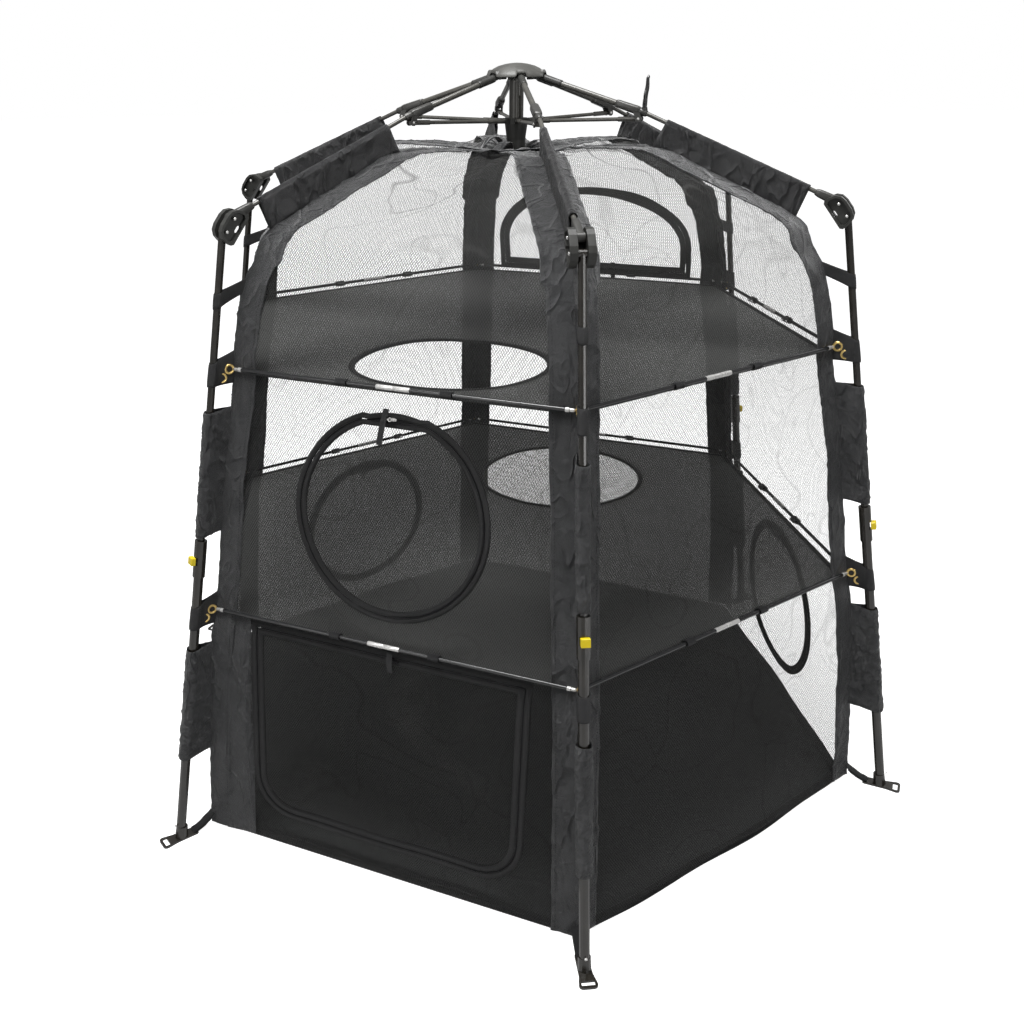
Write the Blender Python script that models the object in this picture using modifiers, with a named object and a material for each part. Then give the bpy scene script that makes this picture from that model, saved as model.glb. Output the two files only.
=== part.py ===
"""Foldable cat cage: a hexagonal tent with three levels, hung in a folding pole frame.

A hub cap on a short centre post carries six hinged ribs, and a slider on the post
spreads them with six struts. Each rib ends in a knuckle that carries a telescopic
leg. The tent has six panels, each wall and roof in one, sewn to six corner strips,
which tie it to the ribs and the legs. Two rod hoops hold its two shelves.

The frame is +Z up, with the origin on the ground under the hub. A corner's own frame
has +X outwards from the hub and +Y along the ground to its left; a wall's has +X
outwards through its middle. All lengths are in metres.
"""
import math

import bmesh
import bpy
from mathutils import Matrix, Vector

# Whole object
hub_top_z = 1.400
foot_r = 0.8225
corner_names = ("front", "right_front", "right_back", "back", "left_back", "left_front")
first_corner_deg = -90.0
sixth_deg = 60.0
clearance = 0.0003
running_gap = 0.0005
overrun = 0.002
merge_distance = 0.000001
flat_deg = 0.2
smooth_deg = 35.0
tube_sides = 12
rod_sides = 8
pin_sides = 6
turned_sides = 24

# Hub cap and centre post
hub_cap_r = 0.0455
hub_cap_h = 0.033
hub_shell = 0.003
hub_crown_shares = ((0.0, 1.0), (0.45, 0.975), (0.74, 0.87), (0.9, 0.7), (0.98, 0.46), (1.0, 0.22))
hub_web_t = 0.0025
hub_web_in_r = 0.034
post_r = 0.0137
post_bottom_z = 1.2365
post_slot_w = 0.005
post_slot_depth = 0.004
post_slot_top_z = 1.340
post_slot_bottom_z = 1.304

# Ribs, from the hub to the knuckles
rib_pivot_r = 0.040
rib_pivot_drop = 0.0225
rib_inner_run = 0.215
rib_outer_run = 0.3518
rib_inner_slope_deg = 17.1
rib_outer_slope_deg = 22.26
rib_eye_r = 0.005
rib_end_w = 0.014
rib_neck_len = 0.016
rib_neck_h = 0.009
rib_sleeve_r = 0.0065
rib_sleeve_start = 0.012
rib_sleeve_end = 0.052
rib_tube_r = 0.00525
rib_rod_r = 0.004
rib_tip_h = 0.016
rib_tip_len = 0.045
hub_pin_r = 0.0015
hub_pin_gap = 0.0004

# Bracket that carries the strut under a rib
saddle_start = 0.165
saddle_end = 0.210
saddle_above = 0.0075
saddle_below = 0.0065
saddle_w = 0.0165
lug_run = 0.2015
lug_drop = 0.0751
lug_t = 0.003
lug_gap = 0.010
lug_w = 0.011
lug_pin_head_t = 0.0012

# Slider on the post
slider_pivot_r = 0.028
slider_pivot_z = 1.2965
slider_travel = 0.076
slider_bottom_z = 1.2356
slider_sleeve_r = 0.018
slider_flare_z = 1.262
slider_flange_r = 0.022
slider_flange_z = 1.291
slider_top_z = 1.302
slider_ear_t = 0.0023
slider_pin_r = 0.0013

# Struts
strut_eye_r = 0.0045
strut_eye_w = 0.008
strut_fitting_r = 0.0045
strut_fitting_len = 0.040
strut_rod_r = 0.0035

# Knuckles between ribs and legs
knuckle_rivet_run = 0.0157
knuckle_rivet_drop = 0.0203
knuckle_w = 0.039
knuckle_gap = 0.0147
knuckle_depth = 0.033
knuckle_len = 0.059
knuckle_edge = 0.0205
knuckle_over = 0.0183
knuckle_recess = 0.0075
knuckle_rim = 0.0045
knuckle_corner_r = 0.004
knuckle_round_share = 0.62
knuckle_slot_len = 0.014
knuckle_slot_w = 0.0062
knuckle_slot_edge = 0.0052
knuckle_web_t = 0.003
knuckle_web_start = 0.0023
knuckle_web_len = 0.018
knuckle_web_edge = 0.0105
rivet_r = 0.0025
rivet_head_r = 0.0036
rivet_head_t = 0.0012

# Telescopic legs
leg_eye_w = 0.013
upper_leg_r = 0.0065
upper_leg_wall = 0.0010
upper_leg_hidden = 0.075
lower_leg_r = 0.009
leg_travel = 0.450
bore_spare = 0.045
collar_top_z = 0.610
collar_r = 0.01125
collar_len = 0.070
button_z = 0.572
button_w = 0.0155
button_h = 0.0145
button_proud = 0.008
button_root = 0.0102
button_travel = 0.003
button_edge = 0.001

# Feet
foot_axis_z = 0.012
foot_plate_t = 0.004
foot_in = 0.033
foot_out = 0.040
foot_in_w = 0.021
foot_out_w = 0.032
foot_waist_w = 0.024
foot_round_r = 0.007
foot_socket_r = 0.012
foot_socket_top_r = 0.011
foot_socket_h = 0.025
foot_loop_len = 0.009
foot_loop_w = 0.023
foot_strap_slot_len = 0.0052
foot_strap_slot_w = 0.0145
foot_slot_edge = 0.005

# Tent
cloth_t = 0.0015
floor_corner_r = 0.753
floor_t = 0.0035
ridge_z = 1.250
strip_w = 0.045
# crest of a corner from the floor up and in to the middle: shares of floor_corner_r and ridge_z
crest_shares = (
    (1.0, 0.003), (0.9814, 0.1464), (0.9469, 0.3264), (0.9270, 0.3740), (0.8951, 0.4928),
    (0.8778, 0.5704), (0.8500, 0.6496), (0.8270, 0.7140), (0.8200, 0.7560), (0.7862, 0.8360),
    (0.7543, 0.8704), (0.7238, 0.9040), (0.6003, 0.9424), (0.4768, 0.9752), (0.3705, 1.0),
    (0.1328, 0.9952), (0.0066, 0.9845),
)
fin_t = 0.002
wrap_t = 0.0015
valance_in_run = 0.250
valance_out_run = 0.515
# ties from the strip to the leg: top and bottom at the strip, top and bottom at the leg
strap_z = (1.066, 1.041, 1.047, 1.022)
upper_tab_z = (0.945, 0.888, 0.928, 0.888)
upper_sleeve_z = (0.842, 0.622, 0.842, 0.622)
lower_tab_z = (0.500, 0.440, 0.482, 0.440)
lower_sleeve_z = (0.330, 0.180, 0.330, 0.180)
hoop_hole_spare = 0.0008

# Doors, hatches and the window, all swinging out of their walls
door_w = 0.522
door_top_z = 0.447
door_bottom_z = 0.068
door_corner_r = 0.080
hatch_d = 0.345
hatch_steps = 30
front_hatch_z = 0.692
right_hatch_z = 0.228
back_hatch_z = 0.235
hatch_hinge_share = 0.94
window_w = 0.460
window_bottom_z = 0.926
window_h = 0.197
window_side_share = 0.30
arch_steps = 16
flap_gap = 0.0004

# Shelves and their rod hoops
rod_r = 0.0035
rod_bend_r = 0.004
rod_wall_gap = 0.0016
ferrule_r = 0.0042
ferrule_len = 0.060
upper_rod_z = 0.9122
lower_rod_z = 0.4675
shelf_t = 0.003
upper_shelf_drop = 0.0122
lower_shelf_drop = 0.0125
upper_hole_d = 0.350
upper_hole_at = (-0.157, -0.265)
lower_hole_d = 0.380
lower_hole_at = (0.163, 0.280)
shelf_wall_gap = 0.0004

for leftover in list(bpy.data.objects):
    bpy.data.objects.remove(leftover, do_unlink=True)

parts = bpy.data.collections.new("foldable_cat_cage")
cutters = bpy.data.collections.new("cutters")
bpy.context.scene.collection.children.link(parts)
bpy.context.scene.collection.children.link(cutters)


# Materials

def material(name, colour, roughness, metallic=0.0):
    """A plain Principled material in the piece's own colour."""
    made = bpy.data.materials.new(name)
    made.use_nodes = True
    shader = made.node_tree.nodes["Principled BSDF"]
    shader.inputs["Base Color"].default_value = (*colour, 1.0)
    shader.inputs["Roughness"].default_value = roughness
    shader.inputs["Metallic"].default_value = metallic
    made.diffuse_color = (*colour, 1.0)
    return made


dark_pole = material("dark_pole", (0.055, 0.052, 0.045), 0.35, 0.8)
dark_plastic = material("dark_plastic", (0.030, 0.031, 0.027), 0.45)
yellow_plastic = material("yellow_plastic", (0.85, 0.62, 0.02), 0.4)
black_oxford = material("black_oxford", (0.035, 0.035, 0.038), 0.75)
white_mesh = material("white_mesh", (0.60, 0.60, 0.60), 0.8)
floor_cloth = material("floor_cloth", (0.060, 0.060, 0.062), 0.8)
rod_black = material("rod_black", (0.030, 0.030, 0.032), 0.35, 0.3)


# Shape helpers

def work_piece(name, mesh):
    """A shape that is still being worked on, kept with the cutters."""
    piece = bpy.data.objects.new(name, mesh)
    piece.hide_render = True
    piece.display_type = "WIRE"
    cutters.objects.link(piece)
    return piece


def from_bmesh(name, bm):
    mesh = bpy.data.meshes.new(name)
    bm.to_mesh(mesh)
    bm.free()
    return work_piece(name, mesh)


def settle(piece):
    """Turns a shape with its modifiers into one clean mesh."""
    graph = bpy.context.evaluated_depsgraph_get()
    mesh = bpy.data.meshes.new_from_object(piece.evaluated_get(graph))
    bm = bmesh.new()
    bm.from_mesh(mesh)
    bmesh.ops.remove_doubles(bm, verts=bm.verts, dist=merge_distance)
    bmesh.ops.dissolve_degenerate(bm, edges=bm.edges, dist=merge_distance)
    bmesh.ops.recalc_face_normals(bm, faces=bm.faces)
    bm.to_mesh(mesh)
    bm.free()
    settled = work_piece(piece.name, mesh)
    settled.matrix_world = piece.matrix_world
    bpy.data.objects.remove(piece, do_unlink=True)
    return settled


def combine(body, tools, operation):
    """Joins the tools to a body, or cuts them out of it, and uses them up."""
    for tool in tools:
        step = body.modifiers.new(operation, "BOOLEAN")
        step.operation = operation
        step.solver = "EXACT"
        step.object = tool
    bpy.context.view_layer.update()
    result = settle(body)
    for tool in tools:
        bpy.data.objects.remove(tool, do_unlink=True)
    return result


def fuse(body, *tools):
    return combine(body, tools, "UNION")


def cut(body, *tools):
    return combine(body, tools, "DIFFERENCE")


def cylinder(radius, start, end, sides=rod_sides, end_radius=None):
    """A round bar, or a cone, between two points."""
    start, end = Vector(start), Vector(end)
    bm = bmesh.new()
    bmesh.ops.create_cone(
        bm, cap_ends=True, segments=sides, radius1=radius,
        radius2=radius if end_radius is None else end_radius, depth=(end - start).length,
    )
    turn = (end - start).to_track_quat("Z", "Y").to_matrix().to_4x4()
    bm.transform(Matrix.Translation((start + end) / 2) @ turn)
    return from_bmesh("bar", bm)


def cross_pin(radius, width, at, sides=pin_sides):
    """A round bar along Y, centred on a point (x, z) of the radial plane."""
    x, z = at
    return cylinder(radius, (x, -width / 2, z), (x, width / 2, z), sides)


def bar(start, end, height, width, lift=0.0, side=0.0):
    """A square bar between two points (x, z) of the radial plane."""
    start, end = Vector((start[0], 0, start[1])), Vector((end[0], 0, end[1]))
    along = (end - start).normalized()
    over = Vector((0, 1, 0)).cross(along) * -1
    frame = Matrix((along, Vector((0, 1, 0)), over)).transposed().to_4x4()
    size = Matrix.Diagonal(((end - start).length, width, height, 1))
    centre = (start + end) / 2 + over * lift + Vector((0, side, 0))
    bm = bmesh.new()
    bmesh.ops.create_cube(bm, size=1)
    bm.transform(Matrix.Translation(centre) @ frame @ size)
    bmesh.ops.recalc_face_normals(bm, faces=bm.faces)
    return from_bmesh("bar", bm)


def box(low, high):
    low, high = Vector(low), Vector(high)
    bm = bmesh.new()
    bmesh.ops.create_cube(bm, size=1)
    bm.transform(Matrix.Translation((low + high) / 2) @ Matrix.Diagonal((*(high - low), 1)))
    return from_bmesh("box", bm)


def flat_shape(outline, thickness, turn=None):
    """A plate from a closed outline, lying flat unless it is turned."""
    curve = bpy.data.curves.new("plate", "CURVE")
    curve.dimensions = "2D"
    curve.fill_mode = "BOTH"
    curve.extrude = thickness / 2
    line = curve.splines.new("POLY")
    line.points.add(len(outline) - 1)
    for point, (x, y) in zip(line.points, outline):
        point.co = (x, y, 0, 1)
    line.use_cyclic_u = True
    plate = settle(work_piece("plate", curve))
    if turn:
        plate.data.transform(turn)
    return plate


# a flat shape's x and y go to x and z of the radial plane, or to y and z of a wall
into_radial_plane = Matrix.Rotation(math.radians(90), 4, "X")
into_wall = Matrix(((0, 0, 1, 0), (1, 0, 0, 0), (0, 1, 0, 0), (0, 0, 0, 1)))


def turned(profile, sides=turned_sides):
    """A solid of revolution about Z from a closed profile of (radius, z) points."""
    bm = bmesh.new()
    corners = [bm.verts.new((radius, 0, z)) for radius, z in profile]
    for here, there in zip(corners, corners[1:] + corners[:1]):
        bm.edges.new((here, there))
    piece = from_bmesh("turned", bm)
    spin = piece.modifiers.new("spin", "SCREW")
    spin.axis = "Z"
    spin.steps = spin.render_steps = sides
    spin.use_merge_vertices = True
    spin.merge_threshold = merge_distance
    bpy.context.view_layer.update()
    return settle(piece)


def arc(centre, radius, start_deg, end_deg, steps):
    """Points on a round stretch of an outline."""
    points = []
    for i in range(steps + 1):
        angle = math.radians(start_deg + (end_deg - start_deg) * i / steps)
        points.append((centre[0] + radius * math.cos(angle), centre[1] + radius * math.sin(angle)))
    return points


def slope(point, degrees, length):
    """The point that lies a length further on, down a slope."""
    angle = math.radians(degrees)
    return (point[0] + length * math.cos(angle), point[1] - length * math.sin(angle))


def shade(mesh):
    mesh.shade_smooth()
    mesh.set_sharp_from_angle(angle=math.radians(smooth_deg))


def add_part(name, mesh, look, at=(0, 0, 0), parent=None):
    """Puts a finished mesh in the model under its own name."""
    part = bpy.data.objects.new(name, mesh)
    if not mesh.materials:
        mesh.materials.append(look)
    part.location = at
    part.parent = parent
    parts.objects.link(part)
    return part


def finished(piece, name):
    """Takes the mesh from a work piece and clears the piece away."""
    mesh = piece.data
    mesh.transform(piece.matrix_world)
    mesh.name = name
    bm = bmesh.new()
    bm.from_mesh(mesh)
    bmesh.ops.dissolve_limit(
        bm, angle_limit=math.radians(flat_deg), verts=bm.verts, edges=bm.edges
    )
    bm.to_mesh(mesh)
    bm.free()
    shade(mesh)
    bpy.data.objects.remove(piece, do_unlink=True)
    return mesh


def empty(name, degrees):
    """A guide whose X axis points out of a corner or a wall."""
    guide = bpy.data.objects.new(name, None)
    guide.rotation_euler.z = math.radians(degrees)
    guide.hide_render = True
    cutters.objects.link(guide)
    return guide


# Places worked out from the driving dimensions, as (x, z) in a corner's radial plane

rib_pivot = (rib_pivot_r, hub_top_z - rib_pivot_drop)
inner_len = rib_inner_run / math.cos(math.radians(rib_inner_slope_deg))
outer_len = rib_outer_run / math.cos(math.radians(rib_outer_slope_deg))
rib_kink = slope(rib_pivot, rib_inner_slope_deg, inner_len)
knuckle_pivot = slope(rib_kink, rib_outer_slope_deg, outer_len)
leg_pivot = (knuckle_pivot[0] + knuckle_rivet_run, knuckle_pivot[1] - knuckle_rivet_drop)
leg_span = math.hypot(foot_r - leg_pivot[0], leg_pivot[1] - foot_axis_z)
leg_lean = math.atan2(foot_r - leg_pivot[0], leg_pivot[1] - foot_axis_z)
slider_pivot = (slider_pivot_r, slider_pivot_z)
strut_far = (rib_pivot_r + lug_run, rib_pivot[1] - lug_drop)


def leg_at(z):
    """The leg's axis at a height, as (x, z)."""
    return (foot_r - (z - foot_axis_z) * math.tan(leg_lean), z)


def from_pivot(points, pivot):
    return [(x - pivot[0], z - pivot[1]) for x, z in points]


# Hub cap and centre post

def build_hub():
    """Dome shell with a slot for each rib, webs that hold the rib pins, and the post."""
    crown_z = hub_top_z - hub_cap_h
    outer = [(hub_cap_r * r, crown_z + hub_cap_h * h) for r, h in hub_crown_shares]
    inner_r, inner_h = hub_cap_r - hub_shell, hub_cap_h - hub_shell
    inner = [(inner_r * r, crown_z + inner_h * h) for r, h in hub_crown_shares]
    lip = [(hub_cap_r, crown_z), (inner_r, crown_z)]
    dome = turned(outer + lip + inner[::-1])
    web_w = rib_end_w + 2 * running_gap
    webs = []
    for k in range(6):
        turn = Matrix.Rotation(math.radians(first_corner_deg + sixth_deg * k), 4, "Z")
        slot = box(
            (rib_pivot_r, -web_w / 2 - clearance, crown_z - overrun),
            (hub_cap_r + overrun, web_w / 2 + clearance, rib_pivot[1] + rib_neck_h),
        )
        slot.data.transform(turn)
        dome = cut(dome, slot)
        for side in (-1, 1):
            near, far = side * web_w / 2, side * (web_w / 2 + hub_web_t)
            web = box(
                (hub_web_in_r, min(near, far), crown_z + overrun),
                (inner_r + clearance, max(near, far), rib_pivot[1] + rib_eye_r - clearance),
            )
            webs.append(web)
        webs.append(cross_pin(hub_pin_r, web_w + hub_web_t, rib_pivot))
        for piece in webs[-3:]:
            piece.data.transform(turn)
    post = cylinder(
        post_r, (0, 0, post_bottom_z), (0, 0, hub_top_z - hub_shell / 2), turned_sides
    )
    hub = fuse(dome, post, *webs)
    slots = []
    for side in (-1, 1):
        near, far = side * (post_r - post_slot_depth), side * (post_r + overrun)
        slots.append(box(
            (-post_slot_w / 2, min(near, far), post_slot_bottom_z),
            (post_slot_w / 2, max(near, far), post_slot_top_z),
        ))
    return finished(cut(hub, *slots), "hub_and_post")


def build_slider():
    """Sleeve that flares into a flange, with a pair of ears and a pin for each strut."""
    def z_of(z):
        return z - slider_pivot_z

    body = turned([
        (slider_sleeve_r, z_of(slider_bottom_z)), (post_r + running_gap, z_of(slider_bottom_z)),
        (post_r + running_gap, z_of(slider_top_z)), (slider_flange_r, z_of(slider_top_z)),
        (slider_flange_r, z_of(slider_flange_z)), (slider_sleeve_r, z_of(slider_flare_z)),
    ])
    half = lug_gap / 2
    ears = []
    for k in range(6):
        turn = Matrix.Rotation(math.radians(first_corner_deg + sixth_deg * k), 4, "Z")
        mine = [cross_pin(slider_pin_r, 2 * half + slider_ear_t, (slider_pivot_r, 0))]
        for side in (-1, 1):
            middle = side * (half + slider_ear_t / 2)
            mine.append(bar(
                (slider_sleeve_r, 0), (slider_pivot_r + clearance, 0), 2 * strut_eye_r - clearance,
                slider_ear_t, 0, middle
            ))
            mine.append(cylinder(
                strut_eye_r, (slider_pivot_r, middle - slider_ear_t / 2 + clearance / 2, 0),
                (slider_pivot_r, middle + slider_ear_t / 2 - clearance / 2, 0),
            ))
        for piece in mine:
            piece.data.transform(turn)
        ears += mine
    return finished(fuse(body, *ears), "slider")


# Ribs, struts and knuckles, each in its own joint's frame

def build_rib():
    """Tube and rod with end fittings, and the bracket for the strut underneath."""
    pivot, kink, tip = (0, 0), *from_pivot([rib_kink, knuckle_pivot], rib_pivot)

    def inner(length):
        return slope(pivot, rib_inner_slope_deg, length)

    def outer(length):
        return slope(kink, rib_outer_slope_deg, length)

    def round_bar(radius, start, end, sides):
        return cylinder(radius, (start[0], 0, start[1]), (end[0], 0, end[1]), sides)

    lug = (lug_run, -lug_drop)
    rib = fuse(
        round_bar(rib_tube_r, inner(rib_sleeve_start), inner(inner_len), tube_sides),
        cross_pin(rib_eye_r, rib_end_w, pivot, rod_sides),
        bar(pivot, inner(rib_neck_len), rib_neck_h, rib_end_w - clearance),
        round_bar(rib_sleeve_r, inner(rib_sleeve_start), inner(rib_sleeve_end), tube_sides),
        round_bar(rib_rod_r, inner(inner_len - rib_rod_r), outer(outer_len - rib_eye_r), rod_sides),
        bar(outer(outer_len - rib_tip_len), tip, rib_tip_h - clearance, rib_end_w - clearance),
        cross_pin(rib_tip_h / 2, rib_end_w, tip, tube_sides),
        bar(
            inner(saddle_start), inner(saddle_end), saddle_above + saddle_below, saddle_w,
            (saddle_above - saddle_below) / 2,
        ),
    )
    lugs = []
    for side in (-1, 1):
        middle = side * (lug_gap + lug_t) / 2
        face = side * (lug_gap / 2 + lug_t)
        lugs.append(bar(
            inner(saddle_end - lug_w / 2), lug, lug_w, lug_t, 0, middle
        ))
        lugs.append(cylinder(
            lug_w / 2, (lug[0], face - side * (lug_t - clearance), lug[1]),
            (lug[0], face + side * lug_pin_head_t, lug[1]),
        ))
    rib = fuse(rib, *lugs)
    rib = cut(
        rib,
        cross_pin(hub_pin_r + hub_pin_gap, rib_end_w + overrun, pivot),
        cross_pin(rivet_r + hub_pin_gap, rib_end_w + overrun, tip),
    )
    return finished(rib, "rib")


def build_strut():
    """Thin rod with a plug and an eye at each end."""
    far = from_pivot([strut_far], slider_pivot)[0]
    length = math.hypot(*far)
    along = (far[0] / length, far[1] / length)

    def on(distance):
        return (along[0] * distance, 0, along[1] * distance)

    rod = fuse(
        cylinder(strut_rod_r, on(0), on(length)),
        cylinder(strut_fitting_r, on(0), on(strut_fitting_len)),
        cylinder(strut_fitting_r, on(length - strut_fitting_len), on(length)),
        cross_pin(strut_eye_r, strut_eye_w, (0, 0), rod_sides),
        cross_pin(strut_eye_r, strut_eye_w, far, rod_sides),
    )
    rod = cut(rod, cross_pin(slider_pin_r + hub_pin_gap, lug_gap, (0, 0)))
    return finished(rod, "strut")


rivet_line = math.atan2(-knuckle_rivet_drop, knuckle_rivet_run)


def knuckle_point(along, out):
    """A point of the knuckle by its place along and outside the line of its two rivets."""
    x = along * math.cos(rivet_line) - out * math.sin(rivet_line)
    z = along * math.sin(rivet_line) + out * math.cos(rivet_line)
    return (x, z)


def knuckle_outline(inset=0.0):
    """The D of a cheek: a straight inner edge and a round outer side."""
    low, high = -knuckle_over + inset, knuckle_len - knuckle_over - inset
    edge, crown = -knuckle_edge + inset, knuckle_depth - knuckle_edge - inset
    big = (crown - edge) * knuckle_round_share
    small = knuckle_corner_r
    points = arc((low + small, edge + small), small, 180, 270, 1)
    points += arc((high - small, edge + small), small, 270, 360, 1)
    points += arc((high - big, crown - big), big, 0, 90, 3)
    points += arc((low + big, crown - big), big, 90, 180, 3)
    return [knuckle_point(along, out) for along, out in points]


def build_knuckle():
    """Two recessed cheeks held together by two rivets and a small web."""
    half, gap = knuckle_w / 2, knuckle_gap / 2
    thick = half - gap
    floor = gap + thick - knuckle_recess
    second = (knuckle_rivet_run, -knuckle_rivet_drop)
    cheeks = []
    for side in (-1, 1):
        cheek = flat_shape(knuckle_outline(), thick, into_radial_plane)
        cheek.data.transform(Matrix.Translation((0, side * (gap + thick / 2), 0)))
        pocket = flat_shape(knuckle_outline(knuckle_rim), knuckle_recess, into_radial_plane)
        middle = floor + knuckle_recess / 2 + clearance
        pocket.data.transform(Matrix.Translation((0, side * middle, 0)))
        cheeks.append(cut(cheek, pocket))
    joiners = [bar(
        knuckle_point(knuckle_web_start, -knuckle_web_edge),
        knuckle_point(knuckle_web_start + knuckle_web_len, -knuckle_web_edge),
        knuckle_web_t, knuckle_gap + clearance,
    )]
    for at in ((0, 0), second):
        joiners.append(cross_pin(rivet_r, 2 * (floor + rivet_head_t / 2), at))
        for side in (-1, 1):
            low, high = sorted((side * (floor - rivet_head_t), side * (floor + rivet_head_t)))
            joiners.append(cylinder(
                rivet_head_r, (at[0], low, at[1]), (at[0], high, at[1]), pin_sides
            ))
    knuckle = fuse(cheeks[0], cheeks[1], *joiners)
    slot_half = (knuckle_slot_len - knuckle_slot_w) / 2
    middle, out = knuckle_len / 2 - knuckle_over, -knuckle_edge + knuckle_slot_edge
    ends = arc((middle - slot_half, out), knuckle_slot_w / 2, 90, 270, 3)
    ends += arc((middle + slot_half, out), knuckle_slot_w / 2, -90, 90, 3)
    slot = flat_shape(
        [knuckle_point(along, over) for along, over in ends], knuckle_w + overrun, into_radial_plane
    )
    return finished(cut(knuckle, slot), "knuckle")


# Legs and feet

def down_leg(length):
    return (length * math.sin(leg_lean), 0, -length * math.cos(leg_lean))


collar_top_len = (leg_pivot[1] - collar_top_z) / math.cos(leg_lean)
lower_leg_len = leg_span - collar_top_len


def build_upper_leg():
    """Inner tube of the leg, with an eye for the knuckle's rivet."""
    length = collar_top_len + upper_leg_hidden
    leg = fuse(
        cylinder(upper_leg_r, down_leg(0), down_leg(length), tube_sides),
        cross_pin(upper_leg_r, leg_eye_w, (0, 0), tube_sides),
    )
    return finished(cut(
        leg,
        cylinder(
            upper_leg_r - upper_leg_wall, down_leg(2 * leg_eye_w), down_leg(length + overrun),
            tube_sides,
        ),
        cross_pin(rivet_r + hub_pin_gap, leg_eye_w + overrun, (0, 0)),
    ), "upper_leg")


def up_leg(length, z=foot_axis_z):
    return (-length * math.sin(leg_lean), 0, z + length * math.cos(leg_lean))


def foot_outline():
    """Ground plate: a narrow strap end inside and a wide rounded loop outside."""
    r = foot_round_r
    small = r / 2
    points = arc((foot_out - r, foot_out_w / 2 - r), r, 90, 0, 3)
    points += arc((foot_out - r, -foot_out_w / 2 + r), r, 0, -90, 3)
    points += [(foot_socket_r, -foot_waist_w / 2)]
    points += arc((-foot_in + small, -foot_in_w / 2 + small), small, -90, -180, 2)
    points += arc((-foot_in + small, foot_in_w / 2 - small), small, 180, 90, 2)
    points += [(foot_socket_r, foot_waist_w / 2)]
    return points


def build_lower_leg():
    """Outer tube with its collar, foot socket and slotted ground plate."""
    top = lower_leg_len
    plate = flat_shape(foot_outline(), foot_plate_t)
    plate.data.transform(Matrix.Translation((0, 0, foot_plate_t / 2)))
    leg = fuse(
        plate,
        cylinder(
            foot_socket_r, up_leg(0, foot_plate_t / 2), up_leg(foot_socket_h, foot_plate_t / 2),
            tube_sides, foot_socket_top_r,
        ),
        cylinder(lower_leg_r, up_leg(0), up_leg(top), tube_sides),
        cylinder(collar_r, up_leg(top - collar_len), up_leg(top), tube_sides),
    )
    ground_cut = box((-foot_in, -foot_in, -foot_in), (foot_in, foot_in, 0))
    depth = upper_leg_hidden + leg_travel + bore_spare
    half = button_h / 2 + clearance
    at = (button_z - foot_axis_z) / math.cos(leg_lean)
    out = Vector((math.cos(leg_lean), 0, math.sin(leg_lean)))
    centre = Vector(up_leg(at))
    low, high = centre + out * lower_leg_r / 2, centre + out * (collar_r + button_proud)
    pocket = bar(
        (low.x, low.z), (high.x, high.z), 2 * half, button_w + 2 * clearance
    )
    loop_mid = foot_out - foot_slot_edge - foot_loop_len / 2
    strap_mid = -foot_in + foot_slot_edge + foot_strap_slot_len / 2
    slots = []
    for middle, length, width in (
        (loop_mid, foot_loop_len, foot_loop_w),
        (strap_mid, foot_strap_slot_len, foot_strap_slot_w),
    ):
        slots.append(box(
            (middle - length / 2, -width / 2, -overrun),
            (middle + length / 2, width / 2, foot_plate_t + overrun),
        ))
    leg = cut(
        leg,
        ground_cut,
        cylinder(
            upper_leg_r + clearance, up_leg(top - depth), up_leg(top + overrun), tube_sides
        ),
        pocket,
        *slots,
    )
    return finished(leg, "lower_leg")


def button_place():
    """The middle of the button's root, in the corner's frame."""
    at = (button_z - foot_axis_z) / math.cos(leg_lean)
    x, _, z = up_leg(at)
    return (foot_r + x + button_root * math.cos(leg_lean), z + button_root * math.sin(leg_lean))


def build_button():
    """Square press button that stands out of the collar."""
    length = collar_r + button_proud - button_root
    end = (length * math.cos(leg_lean), length * math.sin(leg_lean))
    button = bar((0, 0), end, button_h, button_w)
    rounding = button.modifiers.new("rounding", "BEVEL")
    rounding.width = button_edge
    rounding.segments = 1
    bpy.context.view_layer.update()
    return finished(settle(button), "leg_button")


# Tent

crest = [(floor_corner_r * r, ridge_z * h) for r, h in crest_shares]
wall_share = math.cos(math.radians(sixth_deg / 2))


def crest_radius(z):
    """The crest's distance from the centre at a height on the wall."""
    for (r0, z0), (r1, z1) in zip(crest, crest[1:]):
        if z0 <= z <= z1:
            return r0 + (r1 - r0) * (z - z0) / (z1 - z0)
    return crest[0][0]


def sheet_solid(name, rows):
    """A sheet through rows of points, thickened to the cloth's own thickness."""
    bm = bmesh.new()
    grid = [[bm.verts.new(point) for point in row] for row in rows]
    for lower, upper in zip(grid, grid[1:]):
        for i in range(len(lower) - 1):
            bm.faces.new((lower[i], lower[i + 1], upper[i + 1], upper[i]))
    bmesh.ops.remove_doubles(bm, verts=bm.verts, dist=merge_distance)
    bmesh.ops.recalc_face_normals(bm, faces=bm.faces)
    sheet = from_bmesh(name, bm)
    thick = sheet.modifiers.new("cloth", "SOLIDIFY")
    thick.thickness = cloth_t
    thick.offset = 0
    thick.use_even_offset = True
    bpy.context.view_layer.update()
    return settle(sheet)


def strip_half(radius):
    return min(strip_w, radius / 2)


def gore_solid():
    """Wall and roof of one side, between two corner strips, in the wall's frame."""
    rows = []
    for radius, z in crest:
        half = radius / 2 - strip_w - clearance / 2
        if half > clearance:
            rows.append([(radius * wall_share, -half, z), (radius * wall_share, half, z)])
    return sheet_solid("gore", rows)


def fin(points):
    """A sheet of cloth that stands in the radial plane."""
    return flat_shape(points, fin_t, into_radial_plane)


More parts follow.
